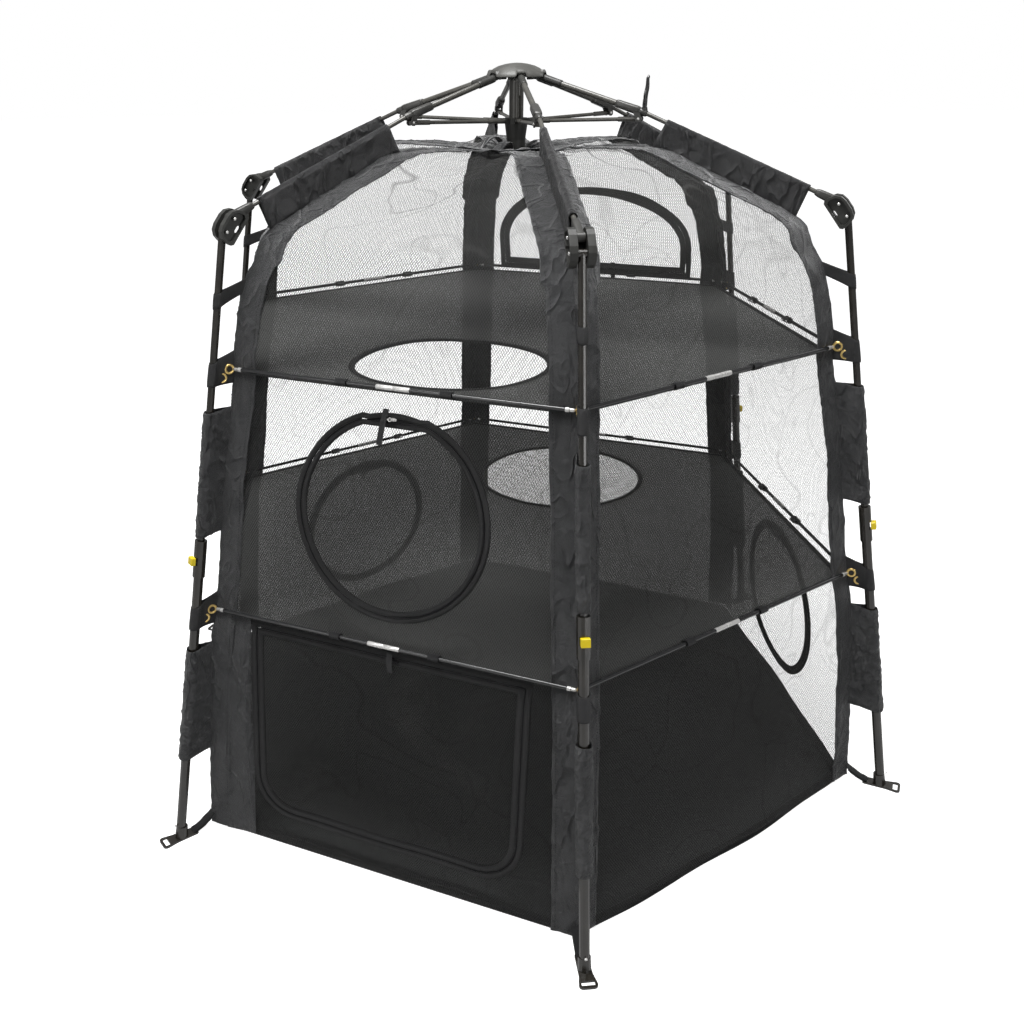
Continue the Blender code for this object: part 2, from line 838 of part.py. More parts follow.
def tie(heights):
    """Cloth from the strip's crest to the leg, between two pairs of heights."""
    top_in, bottom_in, top_out, bottom_out = heights
    inside = crest_radius(bottom_in), crest_radius(top_in)
    edge = upper_leg_r if bottom_out > collar_top_z else lower_leg_r
    out_top, out_bottom = leg_at(top_out)[0], leg_at(bottom_out)[0]
    return fin([
        (inside[0] - cloth_t / 4, bottom_in), (out_bottom - edge, bottom_out),
        (out_top - edge, top_out), (inside[1] - cloth_t / 4, top_in),
    ])


def leg_stretch(radius, top_z, bottom_z, spare=0.0, sides=rod_sides):
    top, bottom = leg_at(top_z + spare), leg_at(bottom_z - spare)
    return cylinder(radius, (bottom[0], 0, bottom[1]), (top[0], 0, top[1]), sides)


def rib_stretch(radius, start_run, end_run):
    """A round bar on the line of a rib's outer part, between two distances from the pivot."""
    ends = []
    for run in (start_run, end_run):
        beyond = (run - rib_inner_run) / math.cos(math.radians(rib_outer_slope_deg))
        x, z = slope(rib_kink, rib_outer_slope_deg, beyond)
        ends.append((x, 0, z))
    return cylinder(radius, *ends, rod_sides)


def valance():
    """Cloth between the roof's corner and the rib."""
    tops = []
    for run in (valance_in_run, valance_out_run):
        beyond = (run - rib_inner_run) / math.cos(math.radians(rib_outer_slope_deg))
        tops.append(slope(rib_kink, rib_outer_slope_deg, beyond))
    roof = [(r, z) for r, z in crest if tops[0][0] - strip_w / 2 < r < tops[1][0] - strip_w / 4]
    return fin(roof + tops)


def build_corner_strip():
    """Folded strip down the corner, with the valance, ties and leg sleeves sewn to it."""
    rows = []
    for radius, z in crest:
        wide = strip_half(radius) - clearance / 2
        rows.append([
            (radius - wide / 2, -wide * wall_share, z), (radius, 0, z),
            (radius - wide / 2, wide * wall_share, z),
        ])
    strip = sheet_solid("strip", rows)
    wraps = [
        rib_stretch(rib_rod_r + running_gap + wrap_t, valance_in_run, valance_out_run),
        leg_stretch(upper_leg_r + running_gap + wrap_t, *upper_sleeve_z[:2]),
        leg_stretch(lower_leg_r + running_gap + wrap_t, *lower_sleeve_z[:2]),
    ]
    ties = [tie(z) for z in (strap_z, upper_tab_z, upper_sleeve_z, lower_tab_z, lower_sleeve_z)]
    strip = fuse(strip, valance(), *ties, *wraps)
    hoop_holes = []
    for z in (upper_rod_z, lower_rod_z):
        hoop_holes.append(cross_pin(
            rod_r + hoop_hole_spare, fin_t + 2 * overrun, (hoop_tip_r(z), z), tube_sides
        ))
    strip = cut(
        strip,
        rib_stretch(rib_rod_r + running_gap, valance_in_run - strip_w, valance_out_run + overrun),
        leg_stretch(upper_leg_r + running_gap, strap_z[0], collar_top_z, strip_w, tube_sides),
        leg_stretch(
            lower_leg_r + running_gap, lower_tab_z[0], lower_sleeve_z[1], strip_w / 2, tube_sides
        ),
        *hoop_holes,
    )
    return finished(strip, "corner_strip")


def round_outline(centre_z, diameter, chord_share):
    """A circle with a flat chord across its top, where the hatch is hinged."""
    chord = math.degrees(math.asin(chord_share))
    return arc((0, centre_z), diameter / 2, 180 - chord, 360 + chord, hatch_steps)


def door_outline():
    r = door_corner_r
    half = door_w / 2
    points = [(-half, door_top_z)]
    points += arc((-half + r, door_bottom_z + r), r, 180, 270, 6)
    points += arc((half - r, door_bottom_z + r), r, 270, 360, 6)
    points += [(half, door_top_z)]
    return points


def window_outline():
    """Straight sides with an arch over them."""
    half = window_w / 2
    side = window_h * window_side_share
    rise = window_h - side
    points = [(-half, window_bottom_z), (half, window_bottom_z)]
    for i in range(arch_steps + 1):
        angle = math.pi * i / arch_steps
        points.append((half * math.cos(angle), window_bottom_z + side + rise * math.sin(angle)))
    return points


def grown(outline, by):
    """An outline moved outwards by a small gap."""
    middle_y = sum(point[0] for point in outline) / len(outline)
    low = min(point[1] for point in outline)
    high = max(point[1] for point in outline)
    middle_z = (low + high) / 2
    made = []
    for y, z in outline:
        away = Vector((y - middle_y, z - middle_z))
        made.append(tuple(Vector((y, z)) + away.normalized() * by * math.sqrt(2)))
    return made


def prism(outline):
    """The space that an outline sweeps through a wall."""
    reach = 2 * floor_corner_r
    return flat_shape(outline, reach, into_wall @ Matrix.Translation((0, 0, reach / 2)))


def build_flap(outline):
    return combine(gore_solid(), [prism(outline)], "INTERSECT")


def hinge_place(z):
    """Where a flap's hinge line crosses the outer face of its wall."""
    return (crest_radius(z) * wall_share + cloth_t / 2, 0, z)


def build_floor():
    corners = []
    for k in range(6):
        angle = math.radians(first_corner_deg + sixth_deg * k)
        corners.append((floor_corner_r * math.cos(angle), floor_corner_r * math.sin(angle)))
    floor = flat_shape(corners, floor_t)
    floor.data.transform(Matrix.Translation((0, 0, floor_t / 2)))
    return finished(floor, "tent_floor")


# Shelves and rod hoops

def hoop_corner_r(z):
    """The corner of a rod hoop that lies just outside the walls."""
    inside = crest_radius(z) * wall_share + cloth_t / 2 + rod_wall_gap
    return (inside + rod_r) / wall_share


def hoop_tip_r(z):
    """The middle of the rod where it is bent round a corner."""
    return hoop_corner_r(z) - rod_bend_r * (1 / wall_share - 1)


def build_shelf(z, hole_d, hole_at):
    """Hexagonal cloth shelf with the round hole that leads to the next level."""
    radius = crest_radius(z + shelf_t) - (cloth_t / 2 + shelf_wall_gap) / wall_share
    corners = []
    for k in range(6):
        angle = math.radians(first_corner_deg + sixth_deg * k)
        corners.append((radius * math.cos(angle), radius * math.sin(angle)))
    shelf = flat_shape(corners, shelf_t)
    x, y = hole_at
    hole = cylinder(hole_d / 2, (x, y, -shelf_t), (x, y, shelf_t), turned_sides)
    return finished(cut(shelf, hole), "shelf")


def build_hoop(z):
    """Six rods in a ring, round at the corners, with a ferrule in the middle of each."""
    radius = hoop_corner_r(z)
    points = []
    for k in range(6):
        angle = math.radians(first_corner_deg + sixth_deg * k)
        centre_r = radius - rod_bend_r / wall_share
        centre = (centre_r * math.cos(angle), centre_r * math.sin(angle))
        degrees = math.degrees(angle)
        points += arc(centre, rod_bend_r, degrees - sixth_deg / 2, degrees + sixth_deg / 2, 2)
    curve = bpy.data.curves.new("hoop", "CURVE")
    curve.dimensions = "3D"
    curve.bevel_depth = rod_r
    curve.bevel_resolution = 1
    line = curve.splines.new("POLY")
    line.points.add(len(points) - 1)
    for point, (x, y) in zip(line.points, points):
        point.co = (x, y, 0, 1)
    line.use_cyclic_u = True
    hoop = settle(work_piece("hoop", curve))
    ferrules = []
    for k in range(6):
        degrees = first_corner_deg + sixth_deg * (k + 0.5)
        turn = Matrix.Rotation(math.radians(degrees), 4, "Z")
        side = cylinder(
            ferrule_r, (radius * wall_share, -ferrule_len / 2, 0),
            (radius * wall_share, ferrule_len / 2, 0), rod_sides,
        )
        side.data.transform(turn)
        ferrules.append(side)
    return finished(fuse(hoop, *ferrules), "rod_hoop")


# The model

def add_frame():
    """Hub, slider, and the six copies of every rib, strut, knuckle, leg and button."""
    add_part("hub_and_post", build_hub(), dark_plastic)
    add_part("slider", build_slider(), dark_plastic, (0, 0, slider_pivot_z))
    button_x, button_at_z = button_place()
    repeated = (
        ("rib", build_rib(), dark_pole, rib_pivot),
        ("strut", build_strut(), dark_pole, slider_pivot),
        ("knuckle", build_knuckle(), dark_plastic, knuckle_pivot),
        ("upper_leg", build_upper_leg(), dark_pole, leg_pivot),
        ("lower_leg", build_lower_leg(), dark_pole, (foot_r, 0)),
        ("leg_button", build_button(), yellow_plastic, (button_x, button_at_z)),
        ("corner_strip", build_corner_strip(), black_oxford, (0, 0)),
    )
    for k, corner in enumerate(corner_names):
        guide = empty(f"{corner}_corner", first_corner_deg + sixth_deg * k)
        for kind, mesh, look, (x, z) in repeated:
            add_part(f"{kind}_{corner}", mesh, look, (x, 0, z), guide)


def add_walls():
    """Each wall with what opens in it."""
    hatch_reach = hatch_d / 2 * hatch_hinge_share
    door = ("front_door", door_outline(), door_top_z)
    front_hatch = (
        "front_hatch", round_outline(front_hatch_z, hatch_d, hatch_hinge_share),
        front_hatch_z + hatch_reach,
    )
    right_hatch = (
        "right_hatch", round_outline(right_hatch_z, hatch_d, hatch_hinge_share),
        right_hatch_z + hatch_reach,
    )
    back_hatch = (
        "back_hatch", round_outline(back_hatch_z, hatch_d, hatch_hinge_share),
        back_hatch_z + hatch_reach,
    )
    window = ("back_window", window_outline(), window_bottom_z)
    walls = (
        ("wall_front_right", ()), ("wall_right", (right_hatch,)), ("wall_back_right", (window,)),
        ("wall_back_left", (back_hatch,)), ("wall_left", ()),
        ("wall_front_left", (door, front_hatch)),
    )
    for k, (name, flaps) in enumerate(walls):
        guide = empty(f"{name}_guide", first_corner_deg + sixth_deg * (k + 0.5))
        wall = gore_solid()
        for flap, outline, hinge_z in flaps:
            wall = cut(wall, prism(grown(outline, flap_gap)))
            mesh = finished(build_flap(outline), flap)
            place = hinge_place(hinge_z)
            mesh.transform(Matrix.Translation([-c for c in place]))
            add_part(flap, mesh, white_mesh, place, guide)
        add_part(name, finished(wall, name), white_mesh, (0, 0, 0), guide)


def add_levels():
    """Floor, and each shelf with the rod hoop that holds it."""
    add_part("tent_floor", build_floor(), floor_cloth)
    for name, rod_z, drop, hole_d, hole_at in (
        ("upper", upper_rod_z, upper_shelf_drop, upper_hole_d, upper_hole_at),
        ("lower", lower_rod_z, lower_shelf_drop, lower_hole_d, lower_hole_at),
    ):
        shelf = build_shelf(rod_z - drop, hole_d, hole_at)
        add_part(f"shelf_{name}", shelf, floor_cloth, (0, 0, rod_z - drop))
        add_part(f"rod_hoop_{name}", build_hoop(rod_z), rod_black, (0, 0, rod_z))


add_frame()
add_walls()
add_levels()
bpy.context.view_layer.update()

triangles = sum(len(p.vertices) - 2 for o in parts.objects for p in o.data.polygons)
print(len(parts.objects), "parts,", triangles, "triangles")
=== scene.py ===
from math import (acos, asin, atan2, ceil, copysign, cos, degrees, exp, hypot, pi, radians, sin, sqrt,
                  tan, tau)

import bmesh
import bpy
from mathutils import Matrix, Vector, noise
from mathutils.geometry import delaunay_2d_cdt


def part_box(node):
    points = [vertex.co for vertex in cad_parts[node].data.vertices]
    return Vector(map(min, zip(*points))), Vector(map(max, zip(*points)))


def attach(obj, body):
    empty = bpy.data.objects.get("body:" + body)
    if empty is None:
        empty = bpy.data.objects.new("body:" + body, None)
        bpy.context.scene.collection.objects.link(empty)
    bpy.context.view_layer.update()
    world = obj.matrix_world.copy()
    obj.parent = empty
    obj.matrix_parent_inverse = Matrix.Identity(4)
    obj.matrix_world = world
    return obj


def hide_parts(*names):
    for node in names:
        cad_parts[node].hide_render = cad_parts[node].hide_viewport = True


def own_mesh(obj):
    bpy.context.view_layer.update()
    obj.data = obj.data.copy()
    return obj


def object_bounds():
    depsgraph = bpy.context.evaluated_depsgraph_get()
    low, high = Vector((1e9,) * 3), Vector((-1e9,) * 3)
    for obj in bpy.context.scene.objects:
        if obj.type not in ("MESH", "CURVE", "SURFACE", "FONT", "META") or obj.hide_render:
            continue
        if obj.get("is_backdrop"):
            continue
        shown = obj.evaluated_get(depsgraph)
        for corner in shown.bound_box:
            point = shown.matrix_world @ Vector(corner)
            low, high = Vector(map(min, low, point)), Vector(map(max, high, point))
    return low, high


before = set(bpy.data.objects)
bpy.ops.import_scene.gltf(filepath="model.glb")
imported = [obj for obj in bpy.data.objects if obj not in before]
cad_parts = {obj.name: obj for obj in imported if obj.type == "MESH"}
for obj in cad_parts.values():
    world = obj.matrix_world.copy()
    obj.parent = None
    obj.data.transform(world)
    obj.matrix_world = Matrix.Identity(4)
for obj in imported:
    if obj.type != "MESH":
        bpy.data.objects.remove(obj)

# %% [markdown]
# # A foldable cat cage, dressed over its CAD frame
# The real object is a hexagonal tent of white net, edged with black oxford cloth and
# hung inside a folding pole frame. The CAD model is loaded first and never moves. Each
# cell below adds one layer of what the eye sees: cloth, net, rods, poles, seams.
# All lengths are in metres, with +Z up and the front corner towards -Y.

cad_box = [list(corner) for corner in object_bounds()]
corner_names = ("front", "right_front", "right_back", "back", "left_back", "left_front")
wall_names = ("front_right", "right", "back_right", "back_left", "left", "front_left")
corner_angle, wall_angle = ([radians(60 * k - start) for k in range(6)] for start in (90, 60))
corner_turn = [Matrix.Rotation(angle, 4, "Z") for angle in corner_angle]
wall_turn = [Matrix.Rotation(angle, 4, "Z") for angle in wall_angle]
half_cos = cos(radians(30))
floor_corner_r, ridge_z, wing_w = 0.753, 1.250, 0.045
floor_z, roof_run = 0.003, 1.1
crest = [(floor_corner_r * r, ridge_z * z) for r, z in (
    (1.0, 0.003), (0.9814, 0.1464), (0.9469, 0.3264), (0.9270, 0.3740), (0.8951, 0.4928),
    (0.8778, 0.5704), (0.8500, 0.6496), (0.8270, 0.7140), (0.8200, 0.7560), (0.7862, 0.8360),
    (0.7543, 0.8704), (0.7238, 0.9040), (0.6003, 0.9424), (0.4768, 0.9752), (0.3705, 1.0),
    (0.1328, 0.9952), (0.0066, 0.9845))]
rod_heights = {"upper": 0.9122, "lower": 0.4675}
shelf_heights = {"upper": 0.900, "lower": 0.455}
hoop_corner = {"upper": 0.6275, "lower": 0.7048}
lean = radians(9.99306)
foot_r, foot_axis_z = 0.8225, 0.012
print("CAD box", [[round(c, 3) for c in corner] for corner in cad_box])

# %% [markdown]
# ## Where the cloth runs
# Every wall and its piece of roof is one panel that follows the crest: the line up the
# corner and in to the middle. A run along the crest, in metres from the floor, and a
# distance across the panel give a point. With one such rule, net, strips, zips and
# bands all land on the same surface, however it curves.

# %% Crest and panel coordinates
runs = [0.0]
for (r0, z0), (r1, z1) in zip(crest, crest[1:]):
    runs.append(runs[-1] + hypot(r1 - r0, z1 - z0))
crest_len = runs[-1]


def crest_at(run):
    """Radius and height of the crest at a distance from the floor."""
    run = min(max(run, 0.0), crest_len)
    last = len(crest) - 1
    i = next((i for i in range(last) if run <= runs[i + 1]), last - 1)
    before, after = max(i - 1, 0), min(i + 2, last)
    span = runs[i + 1] - runs[i]
    t = (run - runs[i]) / span
    out = []
    for a, b, c, d in zip(crest[before], crest[i], crest[i + 1], crest[after]):
        m0 = (c - a) / (runs[i + 1] - runs[before]) * span
        m1 = (d - b) / (runs[after] - runs[i]) * span
        h = (2 * t**3 - 3 * t**2 + 1) * b + (t**3 - 2 * t**2 + t) * m0
        out.append(h + (3 * t**2 - 2 * t**3) * c + (t**3 - t**2) * m1)
    return out


def crest_normal(run):
    """Outward direction of a panel at a run, as (outwards, up) of the panel's middle."""
    (r0, z0), (r1, z1) = crest_at(run - 0.004), crest_at(run + 0.004)
    away = Vector((z1 - z0, -(r1 - r0) * half_cos))
    return away.normalized()


def on_panel(across, run, out=0.0):
    """A point of a panel in its own frame: +X outwards, +Y to the left, +Z up."""
    r, z = crest_at(run)
    n = crest_normal(run)
    return Vector((r * half_cos + n.x * out, across, z + n.y * out))


print("a panel is", round(crest_len, 3), "m long")

# %% [markdown]
# ## A small mesh kit
# Most pieces are a skin through rows of points, a tube along a path, or a turned form.
# One builder collects them, with a texture coordinate in metres on each face corner, so
# that a weave has its true size wherever it lands.

# %% Mesh builder
def mm(*rows):
    """Rows of millimetres, in metres."""
    return [tuple(value / 1000 for value in row) for row in rows]


def polar(radius, angle, *height):
    """A point at a radius and an angle, and at a height where one is given."""
    return Vector((radius * cos(angle), radius * sin(angle), *height))


def ring_of(centre, side, over, radius, sides):
    """Points of a circle, spanned by two directions."""
    turns = (tau * s / sides for s in range(sides))
    return [centre + (side * cos(a) + over * sin(a)) * radius for a in turns]


def new_object(name, data):
    made = bpy.data.objects.new(name, data)
    bpy.context.scene.collection.objects.link(made)
    return made


class Skin:
    """Collects faces with their coordinates and materials, and makes one piece of them."""

    def __init__(self, turn=None):
        self.points, self.faces, self.looks, self.uvs = [], [], [], []
        self.turn = turn or Matrix.Identity(4)

    def face(self, indices, look, uvs):
        self.faces.append(tuple(indices))
        self.looks.append(look)
        self.uvs.append(uvs)

    def rows(self, rows, look=0, coords=None, ring=False, caps=False):
        """A skin through rows of points. A ring closes each row on itself."""
        start, wide = len(self.points), len(rows[0])
        for row in rows:
            self.points += [self.turn @ Vector(point) for point in row]
        if coords is None:
            along, coords = 0.0, []
            for j, row in enumerate(rows):
                if j:
                    along += (Vector(row[0]) - Vector(rows[j - 1][0])).length
                steps = [(0.0, along)]
                for i in range(wide):
                    step = (Vector(row[(i + 1) % wide]) - Vector(row[i])).length
                    steps.append((steps[-1][0] + step, along))
                coords.append(steps)
        for j in range(len(rows) - 1):
            for i in range(wide if ring else wide - 1):
                n = (i + 1) % wide
                a, b = start + j * wide, start + (j + 1) * wide
                self.face((a + i, a + n, b + n, b + i), look,
                          (coords[j][i], coords[j][i + 1], coords[j + 1][i + 1], coords[j + 1][i]))
        if caps:
            for j, order in ((0, -1), (len(rows) - 1, 1)):
                ends = [start + j * wide + i for i in range(wide)][::order]
                self.face(ends, look, [(self.points[e].x, self.points[e].y) for e in ends])
        return self

    def tube(self, path, radius, sides, look):
        """A round skin along a path, closed at its ends."""
        path = [Vector(p) for p in path]
        rows, side = [], None
        for i, p in enumerate(path):
            along = (path[min(i + 1, len(path) - 1)] - path[max(i - 1, 0)]).normalized()
            side = side or along.orthogonal().normalized()
            side = (side - along * side.dot(along)).normalized()
            rows.append(ring_of(p, side, along.cross(side), radius, sides))
        return self.rows(rows, look, ring=True, caps=True)

    def turned(self, profile, at=(0, 0, 0), axis=(0, 0, 1), sides=24, look=0):
        """A form of revolution from (radius, height) points, which may start and end at 0."""
        axis = Vector(axis).normalized()
        side = axis.orthogonal().normalized()
        over = axis.cross(side)
        rows = [ring_of(Vector(at) + axis * height, side, over, max(radius, 0.00002), sides)
                for radius, height in profile]
        return self.rows(rows, look, ring=True, caps=True)

    def plate(self, outline, out, look=0):
        """A closed slab from an outline of points, thickened by a vector."""
        outline, out = [Vector(p) for p in outline], Vector(out)
        start, count = len(self.points), len(outline)
        self.points += [self.turn @ (p + out * side) for side in (0, 1) for p in outline]
        flat = [(p.y, p.z) for p in outline]
        self.face([start + i for i in range(count)][::-1], look, flat[::-1])
        self.face([start + count + i for i in range(count)], look, flat)
        for i in range(count):
            n = (i + 1) % count
            self.face((start + i, start + n, start + count + n, start + count + i), look,
                      (flat[i], flat[n], flat[n], flat[i]))
        return self

    def woven(self, name, looks):
        """The finished piece of cloth, whose folds stay soft to the eye."""
        return self.piece(name, looks, 60, outward=False)

    def piece(self, name, looks, smooth=35, merge=0.0, outward=True):
        """The finished object, which keeps the place it was made at."""
        mesh = bpy.data.meshes.new(name)
        mesh.from_pydata([tuple(p) for p in self.points], [], self.faces)
        layer = mesh.uv_layers.new(name="cloth")
        for polygon, look, uvs in zip(mesh.polygons, self.looks, self.uvs):
            polygon.material_index = look
            for loop, uv in zip(polygon.loop_indices, uvs):
                layer.data[loop].uv = uv
        if outward:
            bm = bmesh.new()
            bm.from_mesh(mesh)
            if merge:
                bmesh.ops.remove_doubles(bm, verts=bm.verts, dist=merge)
            bmesh.ops.recalc_face_normals(bm, faces=bm.faces)
            bm.to_mesh(mesh)
            bm.free()
        for look in looks:
            mesh.materials.append(look)
        mesh.shade_smooth()
        mesh.set_sharp_from_angle(angle=radians(smooth))
        return new_object(name, mesh)


def rounded(outline, radius):
    """An outline of points with its corners rounded."""
    made, count = [], len(outline)
    for i, here in enumerate(outline):
        here = Vector(here)
        before, after = Vector(outline[i - 1]), Vector(outline[(i + 1) % count])
        r = min(radius, (before - here).length / 2.1, (after - here).length / 2.1)
        a, b = here + (before - here).normalized() * r, here + (after - here).normalized() * r
        for t in (0, 1 / 3, 2 / 3, 1):
            made.append(a * (1 - t) ** 2 + here * 2 * t * (1 - t) + b * t * t)
    return made


def ripple(x, y, seed):
    """Smooth noise between -1 and 1, the same in every run."""
    return noise.noise(Vector((x, y, seed * 7.31)))


def ridge(x, y, seed, sharp):
    """1 on the crooked lines where the noise is 0, and 0 a little way beside them."""
    return max(1 - abs(ripple(x, y, seed)) * sharp, 0.0)


print("the mesh kit is ready")

# %% [markdown]
# ## The camera, as the photographer stood
# Six feet, six knuckles and the hub were matched to the photograph, which gave the eye's place, its tilt
# and its lens. The picture was cropped off centre, so a small shift moves the frame and nothing else.

# %% Camera
yaw, pitch, roll = (radians(a) for a in (5.55, -21.92, -0.67))
forward = Vector((sin(yaw) * cos(pitch), cos(yaw) * cos(pitch), sin(pitch)))
level = Vector((cos(yaw), -sin(yaw), 0))
above = level.cross(forward)
right = level * cos(roll) + above * sin(roll)
above = above * cos(roll) - level * sin(roll)
eye = bpy.data.cameras.new("photo_camera")
eye.sensor_width, eye.lens, eye.shift_x, eye.shift_y = 36.0, 37.56, 0.0568, -0.0233
camera = new_object("photo_camera", eye)
view = Matrix((right, above, -forward)).transposed().to_4x4()
camera.matrix_world = Matrix.Translation((-0.3368, -2.1437, 1.409)) @ view
bpy.context.scene.camera = camera
print("the camera looks", [round(c, 3) for c in forward])

# %% [markdown]
# ## Soft studio light
# The photograph is lit evenly from above, with a broad highlight on roof and poles and a pure white
# ground. The world gives a plain level, one large lamp overhead lights the roof, two small ones fill the
# sides, and a narrow upright one draws a streak on the poles. The roof's sheen is partly painted: the
# oxford gets more sheen the higher it sits. The white behind comes from the camera ray's own branch, and
# never from more light on the cloth.

# %% World, lamps and floor
def put(tree, kind, sockets=None, **settings):
    """Adds a shader node, with its inputs set or linked by name or number."""
    made = tree.nodes.new(kind)
    for name, value in settings.items():
        setattr(made, name, value)
    for name, value in (sockets or {}).items():
        socket = made.inputs[name]
        if isinstance(value, bpy.types.NodeSocket):
            tree.links.new(value, socket)
        else:
            socket.default_value = value
    return made


def maths(tree):
    """A short way to add math nodes to a tree: do(operation, values) is what such a node gives."""
    def do(operation, *values, clamp=False):
        return put(tree, "ShaderNodeMath", dict(enumerate(values)), operation=operation,
                   use_clamp=clamp).outputs[0]
    return do


in_gloss = 0.22


def seen_directly(tree):
    """1 where the eye sees the surface, straight or through glass, and less in a gloss."""
    do, rays = maths(tree), put(tree, "ShaderNodeLightPath").outputs
    part = do("MULTIPLY", rays["Is Glossy Ray"], in_gloss)
    return do("MAXIMUM", do("MAXIMUM", rays["Is Camera Ray"], part), rays["Is Transmission Ray"])


world = bpy.data.worlds.new("studio")
bpy.context.scene.world = world
world.use_nodes = True
sky = world.node_tree
sky.nodes.clear()
dim = put(sky, "ShaderNodeBackground", {"Color": (1, 1, 1, 1), "Strength": 0.14})
white = put(sky, "ShaderNodeBackground", {"Color": (1, 1, 1, 1), "Strength": 1.0})
both = put(sky, "ShaderNodeMixShader", {0: seen_directly(sky), 1: dim.outputs[0], 2: white.outputs[0]})
put(sky, "ShaderNodeOutputWorld", {"Surface": both.outputs[0]})


def lamp(name, at, size, power):
    """A square area lamp that faces the middle of the cage."""
    light = bpy.data.lights.new(name, "AREA")
    light.size, light.energy = size, power
    aim = (Vector((0, 0, 0.8)) - Vector(at)).to_track_quat("-Z", "Y").to_matrix().to_4x4()
    made = new_object(name, light)
    made.matrix_world = Matrix.Translation(at) @ aim
    return made


lamp("overhead", (-0.5, -0.6, 4.2), 2.2, 240)
lamp("left_front", (-3.4, -2.6, 2.0), 1.1, 24)
lamp("right_back", (3.0, 1.6, 2.6), 1.4, 20)
strip_light = lamp("strip", (1.75, -2.75, 1.25), 0.30, 18)
strip_light.data.shape, strip_light.data.size_y = "RECTANGLE", 2.2

paper = bpy.data.materials.new("studio_floor")
paper.use_nodes = True
tree = paper.node_tree
ground = tree.nodes["Principled BSDF"]
ground.inputs["Base Color"].default_value = (0.45, 0.45, 0.45, 1)
ground.inputs["Roughness"].default_value = 0.9
glow = put(tree, "ShaderNodeEmission", {"Color": (1, 1, 1, 1), "Strength": 1.0})
lit = put(tree, "ShaderNodeAddShader", {0: ground.outputs[0], 1: glow.outputs[0]})
shown = put(tree, "ShaderNodeMixShader", {0: seen_directly(tree), 1: ground.outputs[0], 2: lit.outputs[0]})
tree.links.new(shown.outputs[0], tree.nodes["Material Output"].inputs["Surface"])
bm = bmesh.new()
bmesh.ops.create_circle(bm, cap_ends=True, radius=30, segments=64)
mesh = bpy.data.meshes.new("studio_floor")
bm.to_mesh(mesh)
bm.free()
mesh.materials.append(paper)
floor = new_object("studio_floor", mesh)
floor.location.z = -0.0005
floor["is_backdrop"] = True
bpy.context.scene.view_settings.view_transform = "Standard"

# %% [markdown]
# ## Three effects that the finishes share
# Woven cloth, see-through net and fine grain return in many materials. Each is a node
# group that is built once and placed with its own values. A group gives out only masks
# and heights, so the shader itself stays in the material.

# %% Shader groups
def group(name, values, wanted):
    """A shader group that reads a vector and some values, and gives out masks and heights."""
    made = bpy.data.node_groups.new(name, "ShaderNodeTree")
    made.interface.new_socket("Vector", in_out="INPUT", socket_type="NodeSocketVector")
    for label, value in values.items():
        socket = made.interface.new_socket(label, in_out="INPUT", socket_type="NodeSocketFloat")
        socket.default_value = value
    for label in wanted:
        made.interface.new_socket(label, in_out="OUTPUT", socket_type="NodeSocketFloat")
    start, end = made.nodes.new("NodeGroupInput"), made.nodes.new("NodeGroupOutput")
    return made, start.outputs, end.inputs, maths(made)


def speckle(tree, vector, scale, detail, **more):
    """Smooth noise about one half."""
    sockets = {"Vector": vector, "Scale": scale, "Detail": detail, **more}
    return put(tree, "ShaderNodeTexNoise", sockets).outputs["Fac"]


WOVEN, given, wanted, do = group("woven_cloth", {"Pitch": 0.001, "Slubs": 0.12}, ("Height", "Shade"))
parts = put(WOVEN, "ShaderNodeSeparateXYZ", {0: given["Vector"]}).outputs
waves = [do("SINE", do("MULTIPLY", do("DIVIDE", parts[i], given["Pitch"]), tau)) for i in (0, 1)]
weave = do("MULTIPLY_ADD", do("MULTIPLY", *waves), 0.5, 0.5)
slub = do("SUBTRACT", speckle(WOVEN, given["Vector"], 55.0, 3.0, Roughness=0.6), 0.5)
WOVEN.links.new(weave, wanted["Height"])
WOVEN.links.new(do("ADD", do("MULTIPLY_ADD", weave, 0.35, 0.82), do("MULTIPLY", slub, given["Slubs"])),
                wanted["Shade"])

NET, given, wanted, do = group("open_net", {"Pitch": 0.0045, "Thread": 0.3}, ("Thread", "Shade"))
parts = put(NET, "ShaderNodeSeparateXYZ", {0: given["Vector"]}).outputs
threads = []
for slant, wide in ((-0.62, 1.0), (0.62, 0.72)):
    slanted = do("MULTIPLY_ADD", parts[1], slant, parts[0])
    cell = do("FRACT", do("DIVIDE", slanted, given["Pitch"]))
    off = do("ABSOLUTE", do("SUBTRACT", cell, 0.5))
    edge = do("ADD", do("MULTIPLY", given["Thread"], wide / 2), 0.05)
    threads.append(do("DIVIDE", do("SUBTRACT", edge, off), 0.10, clamp=True))
NET.links.new(do("MAXIMUM", *threads), wanted["Thread"])
NET.links.new(speckle(NET, given["Vector"], 9.0, 2.0), wanted["Shade"])

GRAIN, given, wanted, do = group("fine_grain", {"Scale": 900.0, "Wear": 0.3}, ("Height", "Worn"))
rubbed = speckle(GRAIN, given["Vector"], 38.0, 6.0, Roughness=0.7)
rubbed = do("MULTIPLY_ADD", rubbed, 4.0, -1.8, clamp=True)
GRAIN.links.new(speckle(GRAIN, given["Vector"], given["Scale"], 2.0), wanted["Height"])
GRAIN.links.new(do("MULTIPLY", rubbed, given["Wear"]), wanted["Worn"])
print("shader groups:", [g.name for g in bpy.data.node_groups])

# %% [markdown]
# ## The finishes
# Satin oxford for strips and bands, a softer one for the valances, white net, dark
# shelf cloth, gunmetal poles, moulded plastic, bright pins, brass eyelets. The weave
# reads each piece's own coordinates in metres, so its threads are as fine as real ones.

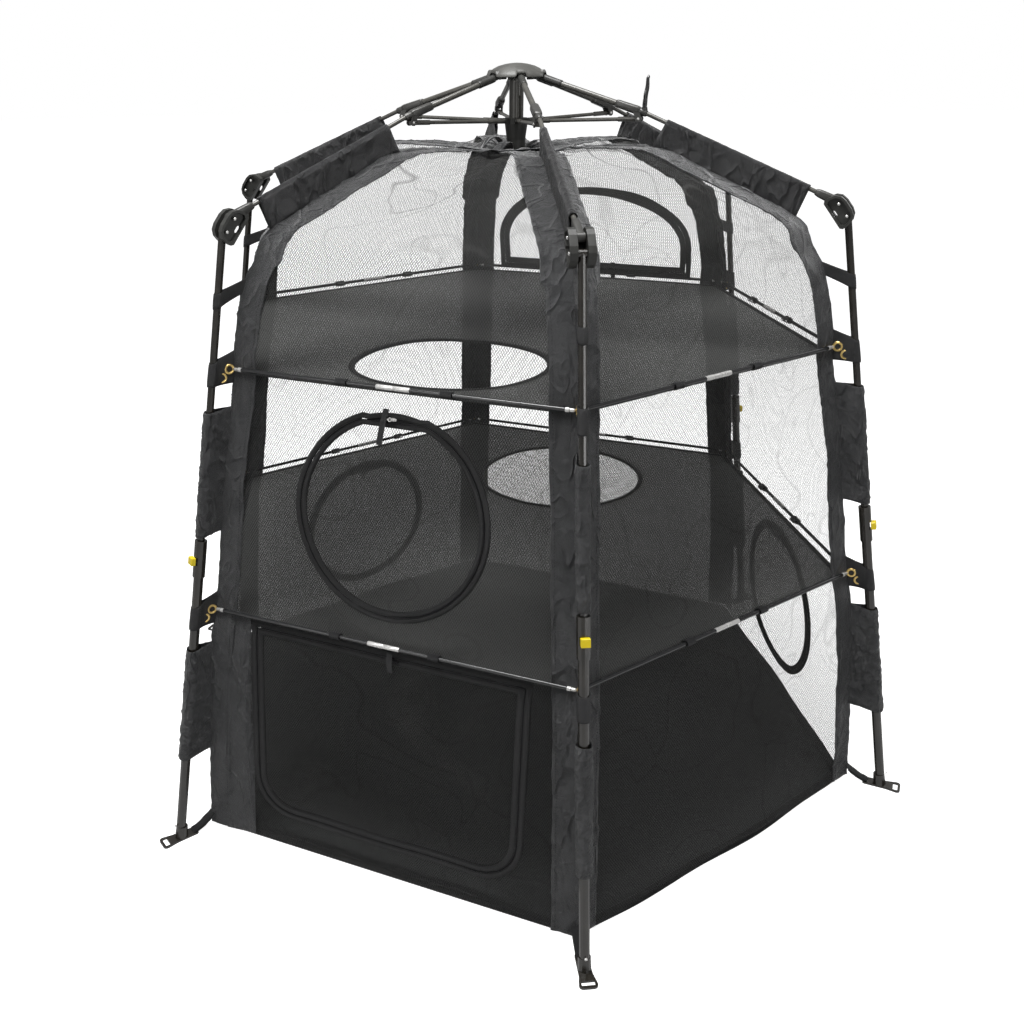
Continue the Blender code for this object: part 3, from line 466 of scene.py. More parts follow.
# %% Materials
def finish_of(name, colour, roughness, metallic=0.0, **shader):
    """A Principled material and its tree, with plain numbers on the shader's own sockets."""
    made = bpy.data.materials.new(name)
    made.use_nodes = True
    bsdf = made.node_tree.nodes["Principled BSDF"]
    bsdf.inputs["Base Color"].default_value = (*colour, 1)
    bsdf.inputs["Roughness"].default_value = roughness
    bsdf.inputs["Metallic"].default_value = metallic
    for socket, value in shader.items():
        bsdf.inputs[socket.replace("_", " ")].default_value = value
    made.diffuse_color = (*colour, 1)
    return made, made.node_tree, bsdf


def toned(tree, bsdf, colour, shade, low=0.0, high=1.0, other=None, spread=0.3):
    """Base colour that runs between two tones as a mask changes."""
    ramp = put(tree, "ShaderNodeMapRange", {"Value": shade, "From Min": low, "From Max": high})
    mix = put(tree, "ShaderNodeMix", {0: ramp.outputs[0]}, data_type="RGBA")
    mix.inputs[6].default_value = (*[c * (1 - spread) for c in colour], 1)
    mix.inputs[7].default_value = (*(other or [c * (1 + spread) for c in colour]), 1)
    tree.links.new(mix.outputs[2], bsdf.inputs["Base Color"])


def bumped(tree, bsdf, height, strength, distance):
    bump = put(tree, "ShaderNodeBump", {"Height": height, "Strength": strength, "Distance": distance})
    tree.links.new(bump.outputs[0], bsdf.inputs["Normal"])


def creases(do, noise_, sharp):
    """1 on the crooked lines where the noise is one half, and 0 beside them."""
    return do("MULTIPLY_ADD", do("ABSOLUTE", do("SUBTRACT", noise_, 0.5)), -sharp, 1.0, clamp=True)


def cloth(name, colour, roughness, pitch, depth=0.5, holes=0.0, folds=0.0, painted_roof_sheen=0.0, **shader):
    """Woven cloth on the piece's own coordinates, with soft creases and, in a mesh, holes. Where asked, a
    painted sheen grows with height.
    """
    made, tree, bsdf = finish_of(name, colour, roughness, **shader)
    do = maths(tree)
    uv = put(tree, "ShaderNodeUVMap", uv_map="cloth").outputs[0]
    weave = put(tree, "ShaderNodeGroup", {"Vector": uv, "Pitch": pitch}, node_tree=WOVEN).outputs
    toned(tree, bsdf, colour, weave["Shade"], 0.6, 1.4)
    place = put(tree, "ShaderNodeTexCoord").outputs["Object"]
    wrinkles = speckle(tree, place, 34.0, 3.0, Roughness=0.55, Distortion=0.6)
    high = do("MULTIPLY_ADD", wrinkles, 7.0, do("MULTIPLY", weave["Height"], depth))
    if folds:
        drawn = put(tree, "ShaderNodeMapping", {"Vector": place, "Scale": (1.3, 1.3, 0.6)}).outputs[0]
        line = creases(do, speckle(tree, drawn, 17.0, 2.0, Distortion=0.35), 9.0)
        high = do("MULTIPLY_ADD", do("POWER", line, 1.8), folds, high)
    bumped(tree, bsdf, high, 0.8, 0.0016)
    # Painted sheen: the sheen weight rises between about 1.02 m and 1.18 m up, so the roof cloth looks
    # brighter, as if more lit from above.
    if painted_roof_sheen:
        height = put(tree, "ShaderNodeSeparateXYZ", {0: place}).outputs[2]
        on_roof = do("MULTIPLY_ADD", height, 6.0, -6.1, clamp=True)
        sheen = do("MULTIPLY_ADD", on_roof, painted_roof_sheen, shader["Sheen_Weight"])
        tree.links.new(sheen, bsdf.inputs["Sheen Weight"])
    if holes:
        tree.links.new(do("DIVIDE", weave["Height"], holes, clamp=True), bsdf.inputs["Alpha"])
    return made


def grainy(name, colour, roughness, metallic=0.0, scale=900.0, wear=0.3, worn=None, bump=0.12,
           **shader):
    """Moulded plastic or painted metal with fine grain and a little handling wear."""
    made, tree, bsdf = finish_of(name, colour, roughness, metallic, **shader)
    place = put(tree, "ShaderNodeTexCoord").outputs["Object"]
    grain = put(tree, "ShaderNodeGroup", {"Vector": place, "Scale": scale, "Wear": wear},
                node_tree=GRAIN).outputs
    toned(tree, bsdf, colour, grain["Worn"], other=worn)
    rough = put(tree, "ShaderNodeMapRange", {"Value": grain["Worn"], "To Min": roughness,
                                             "To Max": roughness + 0.16})
    tree.links.new(rough.outputs[0], bsdf.inputs["Roughness"])
    bumped(tree, bsdf, grain["Height"], bump, 0.0003)
    return made


def net(name, colour, thread_alpha, thread, creased):
    """See-through net: threads that let some light by, and nothing between them."""
    made, tree, bsdf = finish_of(name, colour, 0.7)
    do = maths(tree)
    uv = put(tree, "ShaderNodeUVMap", uv_map="cloth").outputs[0]
    lattice = put(tree, "ShaderNodeGroup", {"Vector": uv, "Pitch": net_pitch, "Thread": thread},
                  node_tree=NET).outputs
    toned(tree, bsdf, colour, lattice["Shade"], 0.3, 0.7, spread=0.12)
    place = put(tree, "ShaderNodeTexCoord").outputs["Object"]
    crease = creases(do, speckle(tree, place, 4.2, 1.0, Distortion=1.0), 70.0)
    height = put(tree, "ShaderNodeSeparateXYZ", {0: place}).outputs[2]
    on_roof = do("MULTIPLY_ADD", height, 9.0, -10.3, clamp=True)
    deep = do("MULTIPLY_ADD", on_roof, 0.45, creased)
    alpha = do("MAXIMUM", do("MULTIPLY", lattice["Thread"], thread_alpha), do("MULTIPLY", crease, deep))
    tree.links.new(alpha, bsdf.inputs["Alpha"])
    return made


net_pitch = 0.0046


# The roof part of this oxford gets a painted sheen that grows with height.
OXFORD = cloth("black_oxford", (0.023, 0.0236, 0.025), 0.34, 0.0009, folds=5.0, painted_roof_sheen=0.36,
               Specular_IOR_Level=0.36, Sheen_Weight=0.14, Sheen_Roughness=0.35)
VALANCE = cloth("valance_oxford", (0.019, 0.019, 0.020), 0.36, 0.0009, folds=5.5,
                Specular_IOR_Level=0.4, Sheen_Weight=0.12, Sheen_Roughness=0.35)
WEBBING = cloth("black_webbing", (0.022, 0.022, 0.023), 0.50, 0.0016, 1.2, folds=1.5,
                Specular_IOR_Level=0.3)
SHELF = cloth("shelf_mesh", (0.062, 0.063, 0.061), 0.70, 0.0024, 1.0, holes=0.10,
              Specular_IOR_Level=0.2)
TAPE = cloth("black_tape", (0.012, 0.012, 0.0125), 0.50, 0.0012, 1.0, folds=1.0,
             Specular_IOR_Level=0.3)
FLOOR = cloth("floor_cloth", (0.030, 0.031, 0.031), 0.66, 0.0022, 1.0, folds=1.2,
              Specular_IOR_Level=0.3)
NETTING = net("open_net", (0.044, 0.044, 0.042), 1.0, 0.080, 0.09)
DENSE = net("dense_net", (0.070, 0.073, 0.057), 0.95, 0.56, 0.10)
POLE = grainy("dark_pole", (0.017, 0.0145, 0.011), 0.22, 0.0, 1400.0, 0.4, (0.046, 0.040, 0.031), 0.06,
              Specular_IOR_Level=0.7)
TUBE = grainy("grey_tube", (0.100, 0.097, 0.086), 0.30, 0.15, 1400.0, 0.5, (0.110, 0.105, 0.092), 0.06,
              Specular_IOR_Level=0.7)
PLASTIC = grainy("dark_plastic", (0.044, 0.044, 0.041), 0.36, 0.0, 700.0, 0.5, Specular_IOR_Level=0.3)
CAP = grainy("hub_plastic_grey", (0.078, 0.077, 0.071), 0.42, 0.0, 500.0, 0.5)
BRACKET = grainy("grey_plastic", (0.060, 0.059, 0.055), 0.34, 0.1, 700.0, 0.4)
STEEL = grainy("bright_steel", (0.86, 0.85, 0.83), 0.26, 0.55, 1600.0, 0.3, (0.62, 0.61, 0.59), 0.05)
BRASS = grainy("brass_eyelet", (0.85, 0.62, 0.24), 0.26, 1.0, 1600.0, 0.6, (0.42, 0.29, 0.10), 0.05)
YELLOW = grainy("button_yellow", (1.0, 0.78, 0.006), 0.34, 0.0, 800.0, 0.3, (0.95, 0.60, 0.01))
ROD = grainy("rod_black", (0.016, 0.016, 0.017), 0.20, 0.0, 1200.0, 0.3, None, 0.06, Coat_Weight=0.3)
THREAD = cloth("sewing_thread", (0.012, 0.012, 0.013), 0.7, 0.0004, Specular_IOR_Level=0.1)
ZIP = grainy("black_zip", (0.008, 0.008, 0.009), 0.34, 0.0, 1500.0, 0.3, Specular_IOR_Level=0.2)
print("materials:", len(bpy.data.materials))

# %% [markdown]
# ## Net panels with their openings
# A panel of net is one sheet, cut where a door, hatch or window opens. A triangulation
# of the outline, the holes and a grid of inner points gives a skin that can sag and
# crease, which a single flat face can't. The flaps are cut from the same sheet, so that
# they lie flush in their openings.

# %% Outlines of the openings
table_of_runs = [crest_at(crest_len * i / 3000) for i in range(2600)]


def run_at(z):
    """The run at which the crest reaches a height, from a table."""
    low, high = 0, len(table_of_runs) - 1
    while high - low > 1:
        middle = (low + high) // 2
        low, high = (middle, high) if table_of_runs[middle][1] < z else (low, middle)
    z0, z1 = table_of_runs[low][1], table_of_runs[high][1]
    return crest_len * (low + (z - z0) / max(z1 - z0, 1e-9)) / 3000


def arc_points(centre, radius, first, last, steps):
    """Points of an ellipse's arc, from one angle in degrees to another."""
    turns = (radians(first + (last - first) * i / steps) for i in range(steps + 1))
    return [(centre[0] + radius[0] * cos(a), centre[1] + radius[1] * sin(a)) for a in turns]


hatch_r = 0.1725


def hatch(z):
    """A round hatch, flat along its hinge, as (across, height) points."""
    chord = degrees(asin(0.94))
    return arc_points((0, z), (hatch_r, hatch_r), 180 - chord, 360 + chord, 56)


door = [(-0.261, 0.447)] + arc_points((-0.181, 0.148), (0.08, 0.08), 180, 270, 8)
door += arc_points((0.181, 0.148), (0.08, 0.08), 270, 360, 8) + [(0.261, 0.447)]
window = [(-0.230, 0.926), (0.230, 0.926)] + arc_points((0, 0.9851), (0.230, 0.1379), 0, 180, 32)
flaps = {
    "front_door": (5, door), "front_hatch": (5, hatch(0.692)), "right_hatch": (1, hatch(0.228)),
    "back_hatch": (3, hatch(0.235)), "back_window": (2, window)}


def on_runs(outline):
    """An outline of (across, height) points as (across, run) points."""
    return [(y, run_at(z)) for y, z in outline]


def grown(outline, by):
    """An outline moved outwards along its own normals, or inwards."""
    count, made = len(outline), []
    area = sum(a[0] * b[1] - b[0] * a[1] for a, b in zip(outline, outline[1:] + outline[:1]))
    turn = 1 if area > 0 else -1
    for i in range(count):
        a, b, c = (Vector(outline[(i + d) % count]) for d in (-1, 0, 1))
        n1 = Vector(((b - a).y, -(b - a).x)).normalized()
        n2 = Vector(((c - b).y, -(c - b).x)).normalized()
        n = (n1 + n2).normalized()
        reach = by * turn / max(n.dot(n1), 0.5)
        made.append(tuple(b + n * reach))
    return made


def inside(point, outline):
    x, y = point
    hit = False
    for (x0, y0), (x1, y1) in zip(outline, outline[1:] + outline[:1]):
        if (y0 > y) != (y1 > y) and x < x0 + (y - y0) * (x1 - x0) / (y1 - y0):
            hit = not hit
    return hit


def slack(across, run, k):
    """How far the net hangs inwards from its taut surface."""
    r, z = crest_at(run)
    half = max(r / 2 - wing_w, 0.02)
    free = max(0.0, 1 - (across / half) ** 2)
    seams = (floor_z, *rod_heights.values())
    held = min(1.0, min(abs(z - seam) for seam in seams) / 0.11) if run < roof_run else 1.0
    roof = min(max((run - 1.05) / 0.18, 0.0), 1.0)
    wave = ripple(across * 3.1 + k, run * 2.3, 3 + k) + 0.5 * ripple(across * 9, run * 5, 9 + k)
    soft = 0.0042 * free * held * (0.75 + 0.6 * wave) + 0.0010 * held * free
    fold = ridge(across * 5.5, run * 11 + across * 4, 17 + k, 3.2)
    return -soft - roof * free * (0.006 + 0.006 * wave + 0.005 * fold)


def triangulated(outline, holes, step):
    """Flat points and faces over an outline, less its holes."""
    points, edges = [], []
    for loop in [outline] + holes:
        start = len(points)
        points += [Vector(p) for p in loop]
        edges += [(start + i, start + (i + 1) % len(loop)) for i in range(len(loop))]
    low = [min(p[i] for p in outline) for i in (0, 1)]
    high = [max(p[i] for p in outline) for i in (0, 1)]
    tight = [grown(outline, -step * 0.4)] + [grown(hole, step * 0.4) for hole in holes]
    row, y = 0, low[1] + step / 2
    while y < high[1]:
        x = low[0] + (step / 2 if row % 2 else step * 0.9)
        while x < high[0]:
            if inside((x, y), tight[0]) and not any(inside((x, y), h) for h in tight[1:]):
                points.append(Vector((x, y)))
            x += step
        row, y = row + 1, y + step * 0.87
    verts, _, faces, *_ = delaunay_2d_cdt(points, edges, [], 0, 1e-6)
    kept = []
    for face in faces:
        middle = sum((verts[i] for i in face), Vector((0, 0))) / len(face)
        if inside(middle, outline) and not any(inside(middle, h) for h in holes):
            kept.append(face)
    number = {v: n for n, v in enumerate(sorted({i for face in kept for i in face}))}
    return [verts[i] for i in number], [[number[i] for i in face] for face in kept]


def sheet(skin, outline, holes, place, step=0.026, look=0):
    """A skin over a flat outline, set in space by place(x, y, lift)."""
    verts, faces = triangulated(outline, holes, step)
    start = len(skin.points)
    skin.points += [skin.turn @ place(x, y, 0.0) for x, y in verts]
    for face in faces:
        skin.face([start + i for i in face], look, [tuple(verts[i]) for i in face])


def hem(share, k, fade):
    """How far the lower edge of side k bulges out and lifts: share runs from -1 to 1 along it."""
    out, up = {0: (0.016, 0.0), 5: (0.002, 0.017)}.get(k, (0.006, 0.006))
    shape = max(0.0, 1 - share * share) * (1 + 0.25 * sin(share * 7 + k)) * fade
    return out * shape, up * shape


def on_net(k):
    """The place rule of panel k: a point across and along it, with the slack of its net."""
    def place(across, run, lift):
        out, up = hem(across / (floor_corner_r / 2), k, max(0.0, 1 - run / 0.26) ** 1.6)
        away = lift + out + slack(across, run, k)
        return on_panel(across, run, away) + Vector((0, 0, up))
    return place


def panel_outline():
    """The net of one side, from floor to roof, reaching just under its strips."""
    under_strip, narrowest, step = 0.008, 0.012, 0.030
    halves = [(crest_at(run)[0] / 2 - wing_w + under_strip, run)
              for run in (step * i for i in range(int(crest_len / step)))]
    left = [(half, run) for half, run in halves if half >= narrowest]
    return [(-half, run) for half, run in left] + left[::-1]


print("a panel's outline has", len(panel_outline()), "points")

# %% [markdown]
# ## Bands and zips round the openings
# Each opening is bound with black tape on the wall and on the flap, and a zip runs
# between them. A band is a shallow arched ribbon along the outline: rows across it lift
# the middle by less than a millimetre, which is what catches the light on real tape.

# %% Bands
def close_up(outline, longest=0.02):
    """The same outline with its long edges divided."""
    made = []
    for a, b in zip(outline, outline[1:] + outline[:1]):
        a, b = Vector(a), Vector(b)
        parts_ = max(1, ceil((b - a).length / longest))
        made += [tuple(a.lerp(b, i / parts_)) for i in range(parts_)]
    return made


def band(skin, outline, inner, outer, place, out=0.0012, crown=0.0012, look=1):
    """Tape along a closed outline, from one distance outside it to another."""
    line = close_up(outline)
    shares, lifts = (0, 0.12, 0.5, 0.88, 1), (-0.0012, crown * 0.8, crown, crown * 0.8, -0.0012)
    edges = [grown(line, inner + (outer - inner) * s) for s in shares]
    rows, along, coords = [], 0.0, []
    for i in list(range(len(line))) + [0]:
        row = []
        for edge, lift in zip(edges, lifts):
            sway = 0.0004 * ripple(along * 60, lift * 900, inner * 500)
            row.append(place(*edge[i], out + lift + sway))
        if rows:
            along += (row[2] - rows[-1][2]).length
        rows.append(row)
        coords.append([((outer - inner) * s, along) for s in shares])
    skin.rows(rows, look, coords)


def both_sides(skin, outline, inner, outer, place):
    """Tape on the outside and on the inside of the net."""
    band(skin, outline, inner, outer, place)
    band(skin, outline, inner, outer, place, -0.0022, -0.0004)


def full_ring(outline):
    """A hatch's outline with its straight hinge rounded out to the full circle."""
    low = min(outline, key=lambda p: p[1])
    centre = Vector((low[0], low[1] + hatch_r))
    first, last = (atan2(*(Vector(p) - centre).yx) for p in (outline[-1], outline[0]))
    turns = (first + (last - first) * s / 10 for s in range(1, 10))
    return outline + [tuple(centre + polar(1, a) * hatch_r) for a in turns]


def facing(k):
    """The place rule of a cloth that lies loosely over the net, with upright and slanting folds."""
    def place(across, run, lift):
        fold = 0.0016 * ripple(across * 22, run * 6, 31 + k)
        for pitch_, slant in ((24.0, 7.0), (13.0, -15.0)):
            fold += 0.0022 * ridge(across * pitch_, run * slant, 33 + slant, 6)
        return on_net(k)(across, run, 0.0022 + lift + fold)
    return place


def thick(piece, thickness, offset=-1.0):
    """Gives a sheet its thickness and settles it into one plain mesh."""
    solid = piece.modifiers.new("thickness", "SOLIDIFY")
    solid.thickness, solid.offset = thickness, offset
    mesh = bpy.data.meshes.new_from_object(piece.evaluated_get(bpy.context.evaluated_depsgraph_get()))
    piece.modifiers.clear()
    piece.data = mesh
    return piece


def netted(name, outline, holes, k):
    """A closed net a millimetre thick, so it covers more where it is seen aslant."""
    skin = Skin(wall_turn[k])
    sheet(skin, outline, holes, on_net(k))
    return thick(skin.woven(name, [NETTING]), 0.001, 0.0)


wall_pieces, flap_pieces, wall_trims, flap_trims, openings = {}, {}, {}, {}, {}
for k, name in enumerate(wall_names):
    skin, over_net = Skin(wall_turn[k]), on_net(k)
    mine = {flap: on_runs(outline) for flap, (wall, outline) in flaps.items() if wall == k}
    openings[name] = [grown(o, 0.0008) for o in mine.values()]
    wall_pieces[name] = netted(f"net_{name}", panel_outline(), openings[name], k)
    for flap, outline in mine.items():
        round_one = "hatch" in flap
        whole = full_ring(outline) if round_one else outline
        both_sides(skin, whole, 0.0012, 0.0105 if round_one else 0.0125, over_net)
        if round_one:
            cap = [outline[-1]] + whole[len(outline):] + [outline[0]]
            for out in (0.0007, -0.0012):
                sheet(skin, grown(cap, 0.0015), [], lambda y, run, _: over_net(y, run, out), 0.012, 1)
        if flap == "front_door":
            left = min(p[0] for p in outline) - 0.013
            edge = [(wing_w * 0.78 - crest_at(run)[0] / 2, run) for run in (0.0, 0.15, 0.3, run_at(0.470))]
            sheet(skin, edge + [(left, edge[-1][1]), (left, 0.0)], [], facing(k), 0.014, 3)
        zip_line = close_up(grown(outline, 0.0003), 0.008)[:None if flap == "front_door" else -2]
        skin.tube([over_net(y, run, 0.0012) for y, run in zip_line], 0.0013, 6, 2)
    if mine:
        wall_trims[name] = skin.woven(f"trim_{name}", [NETTING, TAPE, ZIP, OXFORD])
    for flap, outline in mine.items():
        wide = {"back_window": 0.013, "front_door": 0.0125}.get(flap, 0.0095)
        flap_pieces[flap] = netted(f"{flap}_net", grown(outline, -wide * 0.7), [], k)
        cover = Skin(wall_turn[k])
        both_sides(cover, outline, -wide, -0.0006, over_net)
        flap_trims[flap] = cover.woven(f"{flap}_band", [NETTING, TAPE])
print("net panels:", {n: len(p.data.polygons) for n, p in wall_pieces.items()})

# %% [markdown]
# ## Corner strips
# A strip of oxford folds over each corner, from the floor up to the middle of the roof.
# Its two wings follow the panels on either side; a stitched ridge marks the fold, and
# the long edges pucker where the net pulls at them.

# %% Strips
def wing_normal(run, t):
    """Outward direction at a place across a strip, in the corner's frame."""
    n = crest_normal(run)
    angle = radians(30) * max(-1.0, min(1.0, t * 6))
    return Vector((n.x * cos(angle), n.x * sin(angle), n.y)).normalized()


def wing_at(run):
    """How wide one wing of a strip is. It widens on the roof, where the corner is slimmer."""
    return min(wing_w * (1.18 if run > roof_run else 1.0), crest_at(run)[0] / 2)


def on_strip(t, run, k, lift=0.0):
    """A point of a strip: t goes from -1 at one edge to 1 at the other."""
    r, z = crest_at(run)
    wide = wing_at(run)
    wide *= 1 + 0.05 * ripple(run * 16, t * 2, 40 + k) + 0.03 * ripple(run * 60, t * 2, 45 + k)
    bend = sqrt(t * t + 0.006) - sqrt(0.006)
    flat = Vector((r - bend * wide / 2, t * wide * half_cos, z))
    folds = 0.0014 * ripple(run * 17, t * 1.6, 50 + k) + 0.0009 * ripple(run * 52, t * 2.4, 60 + k)
    for pitch_, slant, high in ((11.0, 0.7, 0.0022), (19.0, -1.3, 0.0014), (31.0, 0.4, 0.0010)):
        folds += high * ridge(run * pitch_ + t * slant, t * 0.5, 52 + k + slant, 7) ** 1.5
    pucker = 0.0012 * ripple(run * 95, t, 70 + k) * t * t
    crest_fold = 0.0022 * exp(-(t / 0.055) ** 2)
    return flat + wing_normal(run, t) * (0.0019 + folds + pucker + crest_fold + lift)


one_wing = (0.05, 0.12, 0.26, 0.45, 0.66, 0.85, 0.97, 1)
across_strip = (*(-t for t in one_wing[::-1]), 0, *one_wing)
strip_len = crest_len - 0.012
strip_steps = round(strip_len / 0.0085)
strip_runs = [0.003 + strip_len * j / strip_steps for j in range(strip_steps + 1)]
strip_pieces = []
for k, name in enumerate(corner_names):
    skin = Skin(corner_turn[k])
    rows = [[on_strip(t, run, k, -0.0012 if abs(t) == 1 else 0.0) for t in across_strip]
            for run in strip_runs]
    skin.rows(rows, 0, [[(t * wing_w, run) for t in across_strip] for run in strip_runs])
    strip_pieces.append(thick(skin.piece(f"strip_{name}", [OXFORD], outward=False), 0.0009))
print("strips:", len(strip_pieces), "of", len(strip_pieces[0].data.polygons), "faces")

# %% [markdown]
# ## Cloth that ties the tent to the frame
# Valances hang from the ribs, straps and tabs hold the corners to the legs, and gathered
# sleeves wrap them. All are one idea: a loop of cloth, sewn to the crest of a corner,
# that runs out, goes round a bar and comes back. A row of such loops along the bar, with
# gathers that grow towards the seam, makes each of them.

# %% Loops of cloth
rib_pivot = Vector((0.040, 1.3775))
rib_kink = Vector((0.255, 1.31136))
knuckle_at = Vector((0.6068, 1.16736))


def leg_point(z):
    """The leg's axis at a height, as (outwards, up) in a corner's plane."""
    return Vector((foot_r - (z - foot_axis_z) * tan(lean), z))


def crest_point(z):
    return Vector(crest_at(run_at(z)))


def loop_rows(inner, centre, radius, gather, seed, along, power=1.5, pinch=0.0009):
    """One loop, from the seam round the bar and back, in a corner's plane."""
    away = inner - centre
    reach = away.length
    away = away / reach
    turn = acos(min(0.95, radius / reach))
    touch = centre + away * cos(turn) * radius
    points = []
    for side in (1, -1):
        leg = []
        for t in (i / 8 for i in range(9)):
            x = inner.lerp(touch, t)
            wide = pinch + (radius * sin(turn) - pinch) * t**power
            lift = gather * (1 - 0.3 * t) * ripple(along * 46, t * 1.7 + side, seed)
            lift += gather * 0.6 * ripple(along * 120, t * 3 + side, seed + 5) * (1 - 0.7 * t)
            lift += gather * 1.3 * ridge(along * 42 + t * side, t * 0.8, seed + 7, 6)
            wide = max(wide + abs(lift) * min(1, 3 * t + 0.25), pinch)
            leg.append(Vector((x.x, side * wide, x.y)))
        points.append(leg)
    around = []
    for i in range(1, 14):
        angle = turn + (tau - 2 * turn) * i / 14
        swell = 26 * ripple(along * 75, angle * 1.1, seed + 9)
        swell += 80 * ridge(along * 60 + angle * 0.4, angle * 0.7, seed + 9, 5)
        swell = radius * (1 + gather * swell)
        x = centre + away * cos(angle) * swell
        around.append(Vector((x.x, swell * sin(angle), x.y)))
    return points[0] + around + points[1][::-1]


def loop_cloth(name, k, loops, alongs, look):
    """A piece of cloth through loops that follow each other along a bar, with each loop's length."""
    skin, coords = Skin(corner_turn[k]), []
    for row, along in zip(loops, alongs):
        spans = [0.0]
        for a, b in zip(row, row[1:]):
            spans.append(spans[-1] + (b - a).length)
        coords.append([(span, along) for span in spans])
    skin.rows(loops, 0, coords)
    return thick(skin.piece(name, [look], outward=False), 0.0007, 1.0), [c[-1][0] for c in coords]


ties = {
    "strap": ((1.066, 1.041), (1.047, 1.022), 0.0082, 0.0),
    "upper_tab": ((0.945, 0.888), (0.930, 0.888), 0.0082, 0.0),
    "upper_sleeve": ((0.846, 0.620), (0.844, 0.618), 0.0105, 0.0021),
    "lower_tab": ((0.502, 0.440), (0.485, 0.440), 0.0108, 0.0),
    "lower_sleeve": ((0.402, 0.178), (0.400, 0.176), 0.0130, 0.0020)}
valance_ribs = [rib_kink.lerp(knuckle_at, (r - rib_kink.x) / (knuckle_at.x - rib_kink.x))
                for r in (0.292, 0.553)]
seam_r, valance_len, valance_steps = (0.268, 0.535), 0.28, 44
tie_pieces, valances = [], []
for k, name in enumerate(corner_names):
    tie_pieces.append([])
    for n, (tie, (at_crest, at_leg, radius, gather)) in enumerate(ties.items()):
        seam0, seam1 = (crest_point(z) + Vector((0.0015, 0)) for z in at_crest)
        bar0, bar1 = (leg_point(z) for z in at_leg)
        long = (bar1 - bar0).length
        count = max(3, round(long / 0.004))
        shares = [j / count for j in range(count + 1)]
        loops = [loop_rows(seam0.lerp(seam1, t), bar0.lerp(bar1, t),
                           radius * (1 - 0.06 * exp(-min(t, 1 - t) * long / 0.004)), gather,
                           10 * k + n, long * t, 1.5 if gather else 4.0) for t in shares]
        piece, girths = loop_cloth(f"{tie}_{name}", k, loops, [long * t for t in shares],
                                   OXFORD if gather else WEBBING)
        tie_pieces[k].append((piece, (sum(girths) / len(girths), long), "gathered" if gather else "hung"))
    shares, loops = [j / valance_steps for j in range(valance_steps + 1)], []
    for t in shares:
        r = seam_r[0] + (seam_r[1] - seam_r[0]) * t
        seam = Vector(min(table_of_runs[1200:], key=lambda at: abs(at[0] - r))) + Vector((0, 0.0015))
        loops.append(loop_rows(seam, valance_ribs[0].lerp(valance_ribs[1], t), 0.0058, 0.0011, 80 + k,
                               valance_len * t))
    piece, girths = loop_cloth(f"valance_{name}", k, loops, [valance_len * t for t in shares], VALANCE)
    middle = girths[len(girths) // 2]
    valances.append((piece, (middle, (valance_ribs[1] - valance_ribs[0]).length)))
print("ties:", sum(len(t) for t in tie_pieces), "valances:", len(valances))

# %% [markdown]
# ## Rods, ferrules, tips
# Each level is stretched by six fibre rods outside the net. A rod is two halves in a
# bright ferrule, with bright tips that plug into the first eyelet of each corner tab.
# They are tubes along straight paths, with the small steps in radius that real ferrules
# and caps have.

# %% Rods
rod_form = mm((3.5, -30), (3.5, 30))
ferrule_half = mm((4.05, 1), (4.3, 2), (4.3, 29), (4.0, 30.5), (0, 31))
ferrule = [(r, -d) for r, d in ferrule_half[::-1]] + ferrule_half
tip = mm((0, 3.2), (1.2, 3.3), (2.6, 4.6), (3.1, 7), (3.1, 12.5), (3.9, 13), (3.9, 19), (3.3, 19.5),
         (0, 19.7))
rod_pieces = {}
for level, z in rod_heights.items():
    skin = Skin()
    corner_r = hoop_corner[level] + 0.0002
    for k in range(6):
        a, b = (corner_turn[n % 6] @ Vector((corner_r, 0, z)) for n in (k, k + 1))
        along, middle = (b - a).normalized(), (a + b) / 2
        half = (b - a).length / 2
        end = half - 0.012
        skin.turned([(0, -end), (0.0034, -end), *rod_form, (0.0034, end), (0, end)], middle, along, 12)
        skin.turned(ferrule, middle, along, 16, 1)
        for side in (-1, 1):
            skin.turned(tip, middle + along * side * half, along * -side, 14, 1)
    rod_pieces[level] = skin.piece(f"rods_{level}", [ROD, STEEL])
print("rods:", {n: len(p.data.polygons) for n, p in rod_pieces.items()})

# %% [markdown]
# ## Eyelets, from one prototype and one tree
# Twenty-four brass eyelets sit on the corner tabs, two to a tab. A tree of Geometry
# Nodes copies one prototype to a cloud of points, turned by an attribute that each point
# carries. The same tree later sets rivets, rod loops and stitches, so it is built once.

# %% Tree: copies at places
COPIES = bpy.data.node_groups.new("copies_at_places", "GeometryNodeTree")
for label, way, kind in (("Places", "INPUT", "Geometry"), ("Prototype", "INPUT", "Object"),
                         ("Finish", "INPUT", "Material"), ("Copies", "OUTPUT", "Geometry")):
    COPIES.interface.new_socket(label, in_out=way, socket_type=f"NodeSocket{kind}")
start, end = COPIES.nodes.new("NodeGroupInput"), COPIES.nodes.new("NodeGroupOutput")
pattern_in = put(COPIES, "GeometryNodeObjectInfo", {"Object": start.outputs["Prototype"]})
spin = put(COPIES, "GeometryNodeInputNamedAttribute", {"Name": "turn"}, data_type="FLOAT_VECTOR")
placed = put(COPIES, "GeometryNodeInstanceOnPoints",
             {"Points": start.outputs["Places"], "Instance": pattern_in.outputs["Geometry"],
              "Rotation": spin.outputs[0]})
real = put(COPIES, "GeometryNodeRealizeInstances", {0: placed.outputs[0]})
dressed = put(COPIES, "GeometryNodeSetMaterial", {0: real.outputs[0], "Material": start.outputs["Finish"]})
COPIES.links.new(dressed.outputs[0], end.inputs[0])


